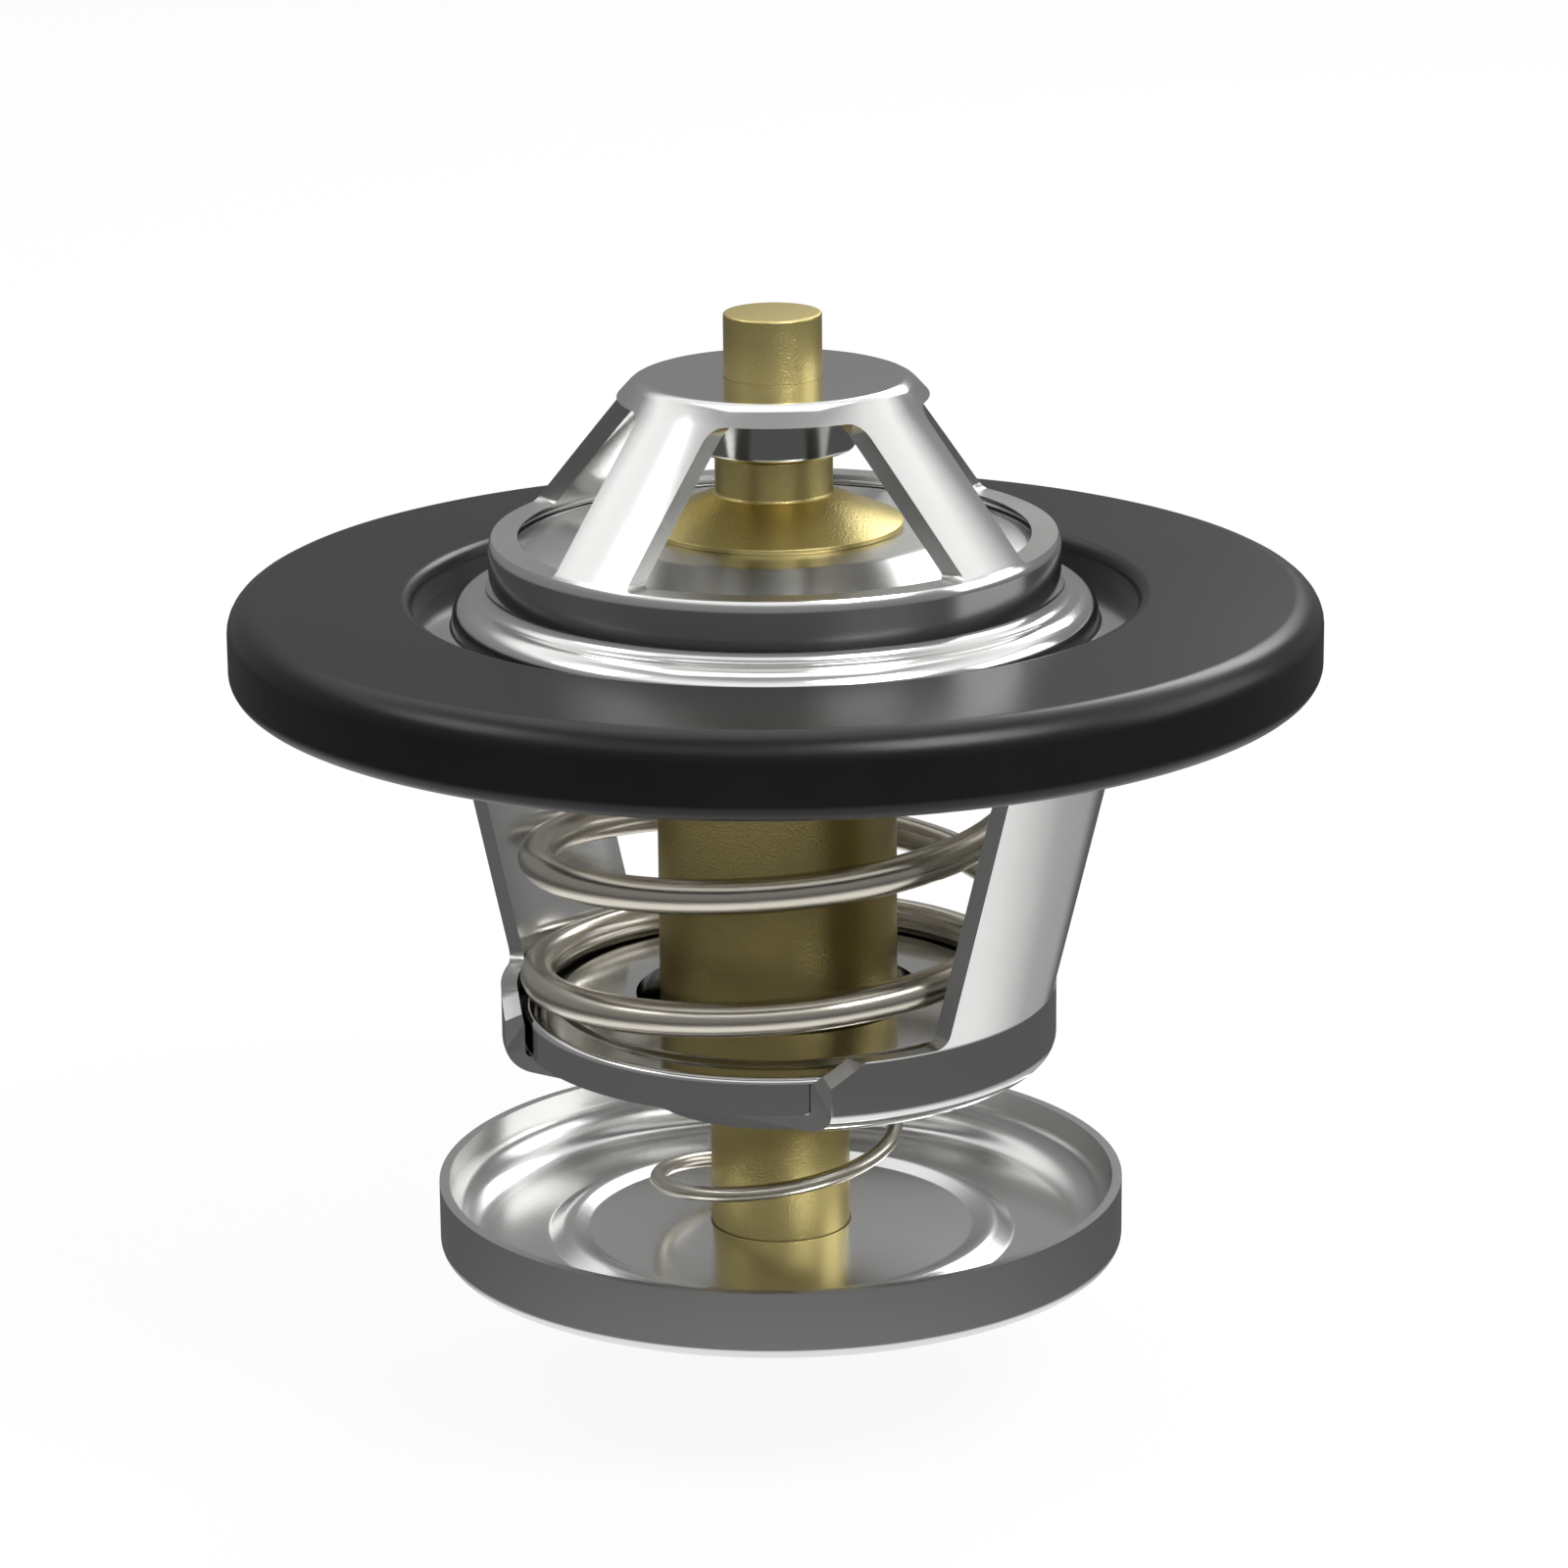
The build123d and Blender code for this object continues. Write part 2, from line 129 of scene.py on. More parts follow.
class ShaderBoard:
    """Adds and links nodes on one node tree."""

    def __init__(self, tree: bpy.types.NodeTree) -> None:
        """Take the tree and clear it."""
        self.tree = tree
        self.tree.nodes.clear()

    @classmethod
    def of(cls, owner: bpy.types.Material | bpy.types.World) -> "ShaderBoard":
        """Give the board of a material or a world, which gets nodes."""
        owner.use_nodes = True
        return cls(owner.node_tree)

    def add(
        self, kind: str, inputs: dict[str | int, object] | None = None, **settings: object
    ) -> bpy.types.Node:
        """Add a node.

        Args:
            kind: The node's type name.
            inputs: Values or output sockets for its inputs, by name or number.
            settings: Values for the node's own properties.

        Returns:
            The new node.
        """
        node = self.tree.nodes.new(kind)
        for name, value in settings.items():
            setattr(node, name, value)
        for key, value in (inputs or {}).items():
            if isinstance(value, bpy.types.NodeSocket):
                self.tree.links.new(value, node.inputs[key])
            else:
                node.inputs[key].default_value = value
        return node

    def math(self, operation: str, first: object, second: object = 0.0) -> bpy.types.NodeSocket:
        """Add a Math node and give its output."""
        node = self.add("ShaderNodeMath", {0: first, 1: second}, operation=operation)
        return node.outputs[0]

    def spread(self, value: object, low: float, high: float) -> bpy.types.NodeSocket:
        """Map a value from 0..1 to low..high."""
        node = self.add("ShaderNodeMapRange", {"Value": value, "To Min": low, "To Max": high})
        return node.outputs["Result"]

    def spread_sides(self, value: object) -> bpy.types.NodeSocket:
        """Map a value from -1..1 to 0..1."""
        return self.add("ShaderNodeMapRange", {"Value": value, "From Min": -1.0}).outputs["Result"]

    def blend(self, factor: object, first: object, second: object) -> bpy.types.NodeSocket:
        """Mix two colours by a factor."""
        node = self.add("ShaderNodeMix", {0: factor, 6: first, 7: second}, data_type="RGBA")
        return node.outputs[2]

    def noise(
        self,
        vector: object,
        scale: object,
        detail: object,
        roughness: float = 0.5,
        dimensions: str = "3D",
    ) -> bpy.types.NodeSocket:
        """Add a noise texture.

        Args:
            vector: Its coordinates.
            scale: Its scale.
            detail: Its number of finer layers.
            roughness: How strong the finer layers are.
            dimensions: "2D" or "3D".

        Returns:
            The noise's value.
        """
        inputs = {"Vector": vector, "Scale": scale, "Detail": detail, "Roughness": roughness}
        return self.add("ShaderNodeTexNoise", inputs, noise_dimensions=dimensions).outputs["Fac"]

    def bump(self, height: object, depth: float, normal: object = None) -> bpy.types.NodeSocket:
        """Add a Bump node.

        Args:
            height: The height's value.
            depth: The depth of a height of one, in millimetres.
            normal: The normal that it starts from.

        Returns:
            The changed normal.
        """
        inputs = {"Strength": 1.0, "Distance": depth * MM, "Height": height}
        if normal is not None:
            inputs["Normal"] = normal
        return self.add("ShaderNodeBump", inputs).outputs["Normal"]

    def split_camera_rays(
        self, share: float, others: bpy.types.Node, seen: bpy.types.Node
    ) -> bpy.types.Node:
        """Mix two shaders by what a ray is for.

        Args:
            share: The part of the second shader in what the camera sees.
            others: The shader for all other rays.
            seen: The shader for the camera's own rays.

        Returns:
            The mixed shader's node.
        """
        ray = self.add("ShaderNodeLightPath")
        factor = self.math("MULTIPLY", ray.outputs["Is Camera Ray"], share)
        return self.add("ShaderNodeMixShader", {0: factor, 1: others.outputs[0], 2: seen.outputs[0]})

    def finish(self, shader: bpy.types.Node, kind: str = "ShaderNodeOutputMaterial") -> None:
        """Add the output node and link the shader to it."""
        self.add(kind, {"Surface": shader.outputs[0]})


class EffectGroup:
    """A shader node group with named inputs and outputs, built once."""

    def __init__(self, name: str, inputs: dict[str, float], outputs: Sequence[str]) -> None:
        """Make the group's tree, its sockets and its two end nodes.

        Args:
            name: The group's name.
            inputs: Float inputs with their default values.
            outputs: Names of the float outputs.
        """
        self.tree = bpy.data.node_groups.new(name, "ShaderNodeTree")
        self.board = ShaderBoard(self.tree)
        self.tree.interface.new_socket("Vector", in_out="INPUT", socket_type="NodeSocketVector")
        for label, value in inputs.items():
            socket = self.tree.interface.new_socket(label, in_out="INPUT", socket_type="NodeSocketFloat")
            socket.default_value = value
        for label in outputs:
            self.tree.interface.new_socket(label, in_out="OUTPUT", socket_type="NodeSocketFloat")
        self.start = self.board.add("NodeGroupInput")
        self.end = self.board.add("NodeGroupOutput")

    def given(self, label: str) -> bpy.types.NodeSocket:
        """Give one of the group's inputs as a socket to link from."""
        return self.start.outputs[label]

    def give(self, label: str, value: bpy.types.NodeSocket) -> None:
        """Link a value to one of the group's outputs."""
        self.tree.links.new(value, self.end.inputs[label])

    def give_marks(self, vector: bpy.types.NodeSocket, dimensions: str) -> None:
        """Let a noise of the group's own scale and detail be its Height."""
        scale, detail = self.given("Scale"), self.given("Detail")
        self.give("Height", self.board.noise(vector, scale, detail, dimensions=dimensions))

    def place(self, board: ShaderBoard, vector: object, **values: float) -> bpy.types.Node:
        """Put the group into a material.

        Args:
            board: The material's board.
            vector: The coordinates for the group.
            values: Values for its float inputs, by lower-case name.

        Returns:
            The group node.
        """
        node = board.add("ShaderNodeGroup", node_tree=self.tree)
        board.tree.links.new(vector, node.inputs["Vector"])
        for label, value in values.items():
            node.inputs[label.capitalize()].default_value = value
        return node


# How much slower the lines of drawn metal change along the axis than round it.
DRAWN_STRETCH = 3.0
# How much slower the grain of rolled sheet changes along X.
ROLLED_STRETCH = 0.03
# How much finer the speckle is than the patches.
SPECKLE_FINENESS = 45.0


def build_turning_marks() -> EffectGroup:
    """Build the fine rings that a lathe or a drawing die leaves round the axis."""
    group = EffectGroup("turning_marks", {"Scale": 6000.0, "Detail": 3.0}, ["Height"])
    board = group.board
    parts = board.add("ShaderNodeSeparateXYZ", {0: group.given("Vector")}).outputs
    across = board.math("ADD", board.math("POWER", parts[0], 2.0), board.math("POWER", parts[1], 2.0))
    line = board.add("ShaderNodeCombineXYZ", {0: board.math("SQRT", across), 1: parts[2]})
    group.give_marks(line.outputs[0], "2D")
    return group


def build_drawing_lines() -> EffectGroup:
    """Build the long lines that run along the axis on a drawn cup."""
    group = EffectGroup("drawing_lines", {"Scale": 60.0, "Detail": 4.0}, ["Height"])
    board = group.board
    parts = board.add("ShaderNodeSeparateXYZ", {0: group.given("Vector")}).outputs
    turn = board.math("ARCTAN2", parts[1], parts[0])
    slow_height = board.math("MULTIPLY", parts[2], DRAWN_STRETCH)
    line = board.add("ShaderNodeCombineXYZ", {0: turn, 1: slow_height})
    group.give_marks(line.outputs[0], "2D")
    return group


def build_rolling_grain() -> EffectGroup:
    """Build the straight grain of rolled sheet, which lies along X."""
    group = EffectGroup("rolling_grain", {"Scale": 4000.0, "Detail": 3.0}, ["Height"])
    stretch = {"Vector": group.given("Vector"), "Scale": (ROLLED_STRETCH, 1.0, 1.0)}
    group.give_marks(group.board.add("ShaderNodeMapping", stretch).outputs[0], "3D")
    return group


def build_handling() -> EffectGroup:
    """Build the soft uneven patches that handling and pressing leave, and a fine speckle."""
    group = EffectGroup("handling", {"Scale": 120.0}, ["Mask", "Speckle"])
    board = group.board
    place, scale = group.given("Vector"), group.given("Scale")
    group.give("Mask", board.noise(place, scale, detail=4.0, roughness=0.6))
    group.give("Speckle", board.noise(place, board.math("MULTIPLY", scale, SPECKLE_FINENESS), detail=2.0))
    return group


class Effects:
    """The effect groups that the finishes share."""

    turned = build_turning_marks()
    drawn = build_drawing_lines()
    rolled = build_rolling_grain()
    handling = build_handling()


@dataclass(frozen=True)
class Finish(ABC):
    """What all finishes share: two colours and a polish that change in soft patches."""

    name: str
    colour: tuple[float, float, float]
    other_colour: tuple[float, float, float]
    roughness: float
    roughness_change: float
    patch_scale: float

    @abstractmethod
    def relief(
        self, board: ShaderBoard, place: bpy.types.NodeSocket, speckle: bpy.types.NodeSocket
    ) -> bpy.types.NodeSocket:
        """Build the finish's fine relief and give its normal."""

    @abstractmethod
    def even_values(self) -> dict[str, float]:
        """List the shader's values that are the same all over the surface."""

    def material(self) -> bpy.types.Material:
        """Make the finish's material, or give the one that was made before."""
        known = bpy.data.materials.get(self.name)
        if known:
            return known
        made = bpy.data.materials.new(self.name)
        board = ShaderBoard.of(made)
        place = board.add("ShaderNodeTexCoord").outputs["Object"]
        handling = Effects.handling.place(board, place, scale=self.patch_scale).outputs
        smooth, rough = self.roughness - self.roughness_change, self.roughness + self.roughness_change
        inputs = {
            "Base Color": board.blend(handling["Mask"], (*self.colour, 1), (*self.other_colour, 1)),
            "Roughness": board.spread(handling["Mask"], smooth, rough),
            "Normal": self.relief(board, place, handling["Speckle"]),
        }
        shader = board.add("ShaderNodeBsdfPrincipled", inputs | self.even_values())
        board.finish(shader)
        made.diffuse_color = (*self.colour, 1)
        return made


@dataclass(frozen=True)
class MetalFinish(Finish):
    """A metal surface with the fine marks of its making."""

    lay: Lay
    mark_scale: float
    mark_depth: float
    speckle_depth: float = 0.0

    def relief(
        self, board: ShaderBoard, place: bpy.types.NodeSocket, speckle: bpy.types.NodeSocket
    ) -> bpy.types.NodeSocket:
        """Build the marks, and a speckle where the finish has one."""
        groups = {Lay.TURNED: Effects.turned, Lay.DRAWN: Effects.drawn, Lay.ROLLED: Effects.rolled}
        marks = groups[self.lay].place(board, place, scale=self.mark_scale)
        normal = board.bump(marks.outputs["Height"], self.mark_depth)
        return board.bump(speckle, self.speckle_depth, normal) if self.speckle_depth else normal

    def even_values(self) -> dict[str, float]:
        """Make the surface a metal."""
        return {"Metallic": 1.0}


@dataclass(frozen=True)
class MouldedFinish(Finish):
    """A moulded surface, such as rubber, with a soft sheen and a fine skin."""

    skin_depth: float
    sheen_level: float = 0.36

    def relief(
        self, board: ShaderBoard, place: bpy.types.NodeSocket, speckle: bpy.types.NodeSocket
    ) -> bpy.types.NodeSocket:
        """Build the skin."""
        return board.bump(speckle, self.skin_depth)

    def even_values(self) -> dict[str, float]:
        """Set how strongly the surface mirrors."""
        return {"Specular IOR Level": self.sheen_level}


SHEET = MetalFinish(
    "bright_sheet", (0.80, 0.80, 0.79), (0.72, 0.72, 0.71), 0.13, 0.035, 120.0, Lay.ROLLED, 3500.0, 0.0012
)
VALVE_SHEET = MetalFinish(
    "satin_sheet", (0.76, 0.76, 0.75), (0.70, 0.70, 0.69), 0.25, 0.02, 120.0, Lay.ROLLED, 3500.0, 0.001
)
PAN_SHEET = MetalFinish(
    "pan_sheet", (0.75, 0.75, 0.74), (0.69, 0.69, 0.68), 0.19, 0.02, 120.0, Lay.ROLLED, 3500.0, 0.001
)
SHEARED = MetalFinish(
    "sheared_edge", (0.60, 0.60, 0.59), (0.46, 0.46, 0.45), 0.30, 0.06, 120.0,
    Lay.DRAWN, 260.0, 0.012, speckle_depth=0.004,
)
BUSH = MetalFinish(
    "turned_steel", (0.62, 0.62, 0.61), (0.52, 0.52, 0.52), 0.16, 0.04, 120.0, Lay.TURNED, 5200.0, 0.003
)
PISTON = MetalFinish(
    "ground_steel", (0.78, 0.78, 0.78), (0.72, 0.72, 0.72), 0.10, 0.02, 120.0, Lay.TURNED, 9000.0, 0.001
)
WIRE = MetalFinish(
    "spring_wire", (0.74, 0.70, 0.61), (0.62, 0.58, 0.50), 0.24, 0.04, 120.0, Lay.TURNED, 5200.0, 0.004
)
BRASS_TURNED = MetalFinish(
    "turned_brass", (0.70, 0.585, 0.245), (0.60, 0.50, 0.205), 0.37, 0.05, 150.0,
    Lay.TURNED, 5200.0, 0.002, speckle_depth=0.03,
)
BRASS_DRAWN = MetalFinish(
    "drawn_brass", (0.56, 0.465, 0.195), (0.46, 0.38, 0.155), 0.38, 0.06, 150.0,
    Lay.DRAWN, 70.0, 0.003, speckle_depth=0.03,
)
SEAL_RUBBER = MouldedFinish(
    "moulded_seal_rubber", (0.003, 0.003, 0.003), (0.006, 0.006, 0.006), 0.30, 0.04, 90.0, 0.004
)
BOOT_RUBBER = MouldedFinish(
    "moulded_boot_rubber", (0.012, 0.012, 0.013), (0.020, 0.020, 0.020), 0.50, 0.05, 90.0, 0.006
)
WAX = MouldedFinish("pale_expansion_wax", (0.52, 0.40, 0.24), (0.60, 0.48, 0.30), 0.45, 0.08, 90.0, 0.02)


@dataclass(frozen=True)
class Corner:
    """One corner of a section: distance from the axis, height and rounding."""

    r: float
    z: float
    rounding: float = 0.0


class PieceMesh:
    """A piece under construction: a bmesh in millimetres that ends as an object in metres."""

    def __init__(self, name: str) -> None:
        """Start an empty mesh."""
        self.name = name
        self.bm = bmesh.new()

    def draw_section(self, corners: Sequence[Corner], closed: bool) -> None:
        """Draw a section in the XZ plane and round its corners.

        Args:
            corners: The section's corners in order.
            closed: True where the last corner joins the first.
        """
        dots = [self.bm.verts.new((corner.r, 0.0, corner.z)) for corner in corners]
        for first, second in zip(dots, dots[1:]):
            self.bm.edges.new((first, second))
        if closed:
            self.bm.edges.new((dots[-1], dots[0]))
        for dot, corner in zip(dots, corners):
            if corner.rounding:
                self.round_dot(dot, corner.rounding)

    def round_dot(self, dot: bmesh.types.BMVert, rounding: float) -> None:
        """Turn one corner of the section into an arc.

        Args:
            dot: The corner, which has two edges.
            rounding: The arc's radius.
        """
        ways = [(edge.other_vert(dot).co - dot.co).normalized() for edge in dot.link_edges]
        turn = math.pi - ways[0].angle(ways[1])
        bmesh.ops.bevel(
            self.bm,
            geom=[dot],
            offset=rounding * math.tan(turn / 2),
            offset_type="OFFSET",
            segments=max(FEWEST_SEGMENTS, round(turn / ARC_STEP)),
            profile=0.5,
            affect="VERTICES",
            material=-1,
        )

    def spin_section(self, steps: int, azimuth: float = 90.0) -> None:
        """Spin the section once round the axis and close seam and poles.

        Args:
            steps: The number of facets round the axis.
            azimuth: Where the first section stands.
        """
        turn = Matrix.Rotation(math.radians(azimuth - 90), 3, "Z")
        bmesh.ops.rotate(self.bm, cent=(0, 0, 0), matrix=turn, verts=self.bm.verts[:])
        bmesh.ops.spin(
            self.bm,
            geom=self.bm.verts[:] + self.bm.edges[:],
            cent=(0, 0, 0),
            axis=(0, 0, 1),
            angle=math.tau,
            steps=steps,
            use_merge=True,
        )
        bmesh.ops.remove_doubles(self.bm, verts=self.bm.verts[:], dist=TOUCH)
        bmesh.ops.recalc_face_normals(self.bm, faces=self.bm.faces[:])

    def thicken(self, sheet: float) -> None:
        """Turn the sheet's middle surface into a closed shell.

        Args:
            sheet: The sheet's thickness.
        """
        step = bpy.data.meshes.new(self.name)
        self.bm.to_mesh(step)
        for finish in (SHEET, SHEARED):
            step.materials.append(finish.material())
        holder = put_in_scene(self.name, step)
        solid = holder.modifiers.new("sheet", "SOLIDIFY")
        solid.thickness = sheet
        solid.offset = 0.0
        solid.use_even_offset = True
        solid.material_offset_rim = EDGE_NUMBER
        shell = holder.evaluated_get(bpy.context.evaluated_depsgraph_get()).to_mesh()
        self.bm.clear()
        self.bm.from_mesh(shell)
        bpy.data.objects.remove(holder)
        bpy.data.meshes.remove(step)

    def press(self, line: Sequence[Corner], steps: int, sheet: float, azimuth: float = 90.0) -> None:
        """Spin a sheet's middle line and give the sheet its thickness.

        Args:
            line: The middle line's corners, from one edge to the other.
            steps: The number of facets round the axis.
            sheet: The sheet's thickness.
            azimuth: Where the first section stands.
        """
        self.draw_section(line, closed=False)
        self.spin_section(steps, azimuth)
        self.thicken(sheet)

    def cut(self, faces: Sequence[bmesh.types.BMFace], point: Vector, normal: Vector) -> None:
        """Cut some faces by a plane and keep both sides."""
        edges = {edge for face in faces for edge in face.edges}
        verts = {vert for face in faces for vert in face.verts}
        geom = list(faces) + list(edges) + list(verts)
        bmesh.ops.bisect_plane(self.bm, geom=geom, dist=TOUCH, plane_co=point, plane_no=normal)

    def split_along(
        self, outline: Sequence[tuple[float, float]], outward: Vector, reach: float = ALL_ROUND
    ) -> set[bmesh.types.BMFace]:
        """Cut the shell along both sides of an outline that is seen along a level direction.

        Args:
            outline: Half widths and heights, from the lowest up.
            outward: The direction.
            reach: The cosine of the half angle around it in which the shell is cut.

        Returns:
            The faces that lie outside the outline.
        """
        across = UP.cross(outward)
        outside = set()
        for (wide, low), (next_wide, high) in zip(outline, outline[1:]):
            if high - low < THIN_BAND:
                continue
            for side in (1.0, -1.0):
                band = [face for face in self.bm.faces if in_band(face, outward, reach, low, high)]
                slope = (high - low) * UP + side * (next_wide - wide) * across
                self.cut(band, side * wide * across + low * UP, slope.cross(outward))
            for face in self.bm.faces:
                if in_band(face, outward, reach, low, high):
                    centre = face.calc_center_median()
                    share = (centre.z - low) / (high - low)
                    if abs(centre.dot(across)) > wide + (next_wide - wide) * share:
                        outside.add(face)
        return outside

    def drop(self, faces: set[bmesh.types.BMFace]) -> None:
        """Delete some faces and merge what the cuts left double."""
        bmesh.ops.delete(self.bm, geom=list(faces), context="FACES")
        bmesh.ops.remove_doubles(self.bm, verts=self.bm.verts[:], dist=WELD)

    def close_rims(self, rims: Sequence[bmesh.types.BMEdge]) -> None:
        """Join the two cut lines of one opening, one on each side of the sheet, by a sheared edge."""
        for face in bmesh.ops.bridge_loops(self.bm, edges=list(rims))["faces"]:
            face.material_index = EDGE_NUMBER

    def mark_sharp_edges(self) -> None:
        """Shade all faces smooth and keep the edges between steep faces sharp."""
        for face in self.bm.faces:
            face.smooth = True
        for edge in self.bm.edges:
            edge.smooth = len(edge.link_faces) != 2 or edge.calc_face_angle(0.0) < SMOOTH_LIMIT

    def to_object(self, finishes: Sequence[Finish]) -> bpy.types.Object:
        """Scale the mesh to metres and make its object.

        Args:
            finishes: One finish for each material number that the faces use.

        Returns:
            The new object, at the origin.
        """
        self.mark_sharp_edges()
        bmesh.ops.scale(self.bm, vec=(MM, MM, MM), verts=self.bm.verts[:])
        mesh = bpy.data.meshes.new(self.name)
        self.bm.to_mesh(mesh)
        self.bm.free()
        for finish in finishes:
            mesh.materials.append(finish.material())
        return put_in_scene(self.name, mesh)

    def finish(self, finishes: Sequence[Finish], node: str, body: Body, slot: str) -> None:
        """Make the object, let its large faces rule the shading and seat it.

        Args:
            finishes: One finish for each material number that the faces use.
            node: The CAD node that it replaces.
            body: The body that it rides on.
            slot: The record's material slot; not used.
        """
        made = self.to_object(finishes)
        weighted = made.modifiers.new("weighted normals", "WEIGHTED_NORMAL")
        weighted.mode = "FACE_AREA"
        weighted.keep_sharp = True
        seat(made, node, body)


def in_band(face: bmesh.types.BMFace, outward: Vector, reach: float, low: float, high: float) -> bool:
    """Tell whether a face lies around a level direction and between two heights.

    Args:
        face: The face.
        outward: The direction.
        reach: The cosine of the half angle around it.
        low: The lower height.
        high: The upper height.

    Returns:
        True where the face's middle is inside.
    """
    centre = face.calc_center_median()
    flat = Vector((centre.x, centre.y, 0.0))
    return flat.dot(outward) > reach * flat.length and low + TOUCH < centre.z < high - TOUCH


def seat(made: bpy.types.Object, node: str, body: Body) -> bpy.types.Object:
    """Let a finished piece stand for its CAD node and ride on its body.

    Args:
        made: The finished object.
        node: The CAD node that it replaces.
        body: The body that it rides on.

    Returns:
        The same object.
    """
    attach(made, body.value)
    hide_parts(node)
    low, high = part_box(node)
    corners = [Vector(corner) for corner in made.bound_box]
    own_high = Vector([max(places) for places in zip(*corners)])
    own_low = Vector([min(places) for places in zip(*corners)])
    off = max((own_high - high).length, (own_low - low).length) / MM
    log.info("%s: %d faces, corners %.3f mm from the CAD node's", made.name, len(made.data.polygons), off)
    return made


def turn_piece(
    name: str,
    section: Sequence[Corner],
    steps: int,
    finish: Finish,
    node: str,
    body: Body,
    slot: str,
    closed: bool = False,
) -> None:
    """Spin a section into a piece that stands for a CAD node.

    Args:
        name: The object's name.
        section: The section's corners; an open one starts and ends on the axis.
        steps: The number of facets round the axis.
        finish: The surface's finish.
        node: The CAD node that it replaces.
        body: The body that it rides on.
        slot: The record's material slot.
        closed: True for a section that closes on itself, away from the axis.
    """
    mesh = PieceMesh(name)
    mesh.draw_section(section, closed)
    mesh.spin_section(steps)
    mesh.finish([finish], node, body, slot)


@dataclass
class SealRing:
    """Moulded rubber ring that grips the flange's edge in an inner groove."""

    outer_r: float = 33.5
    height: float = 5.2
    hole_r: float = 22.2
    heel_r: float = 26.5
    flange_r: float = 29.0
    flange_sheet: float = 1.2
    grip_gap: float = 0.05
    top_round: float = 1.8
    bottom_round: float = 1.1
    lip_round: float = 0.8
    steps: int = 240

    def section(self) -> list[Corner]:
        """List the corners of the ring's section."""
        half = self.height / 2
        flange_top = self.flange_sheet / 2
        groove_r = self.flange_r + self.grip_gap
        return [
            Corner(self.hole_r, flange_top),
            Corner(self.hole_r, half, self.lip_round),
            Corner(self.outer_r, half, self.top_round),
            Corner(self.outer_r, -half, self.bottom_round),
            Corner(self.heel_r, -half, self.lip_round),
            Corner(self.heel_r, -flange_top),
            Corner(groove_r, -flange_top),
            Corner(groove_r, flange_top),
        ]

    def build(self) -> None:
        """Spin the section and dress it in rubber."""
        name, node, slot = "seal_ring_moulding", "seal_ring", "seal_rubber"
        turn_piece(name, self.section(), self.steps, SEAL_RUBBER, node, Body.HOUSING, slot, closed=True)


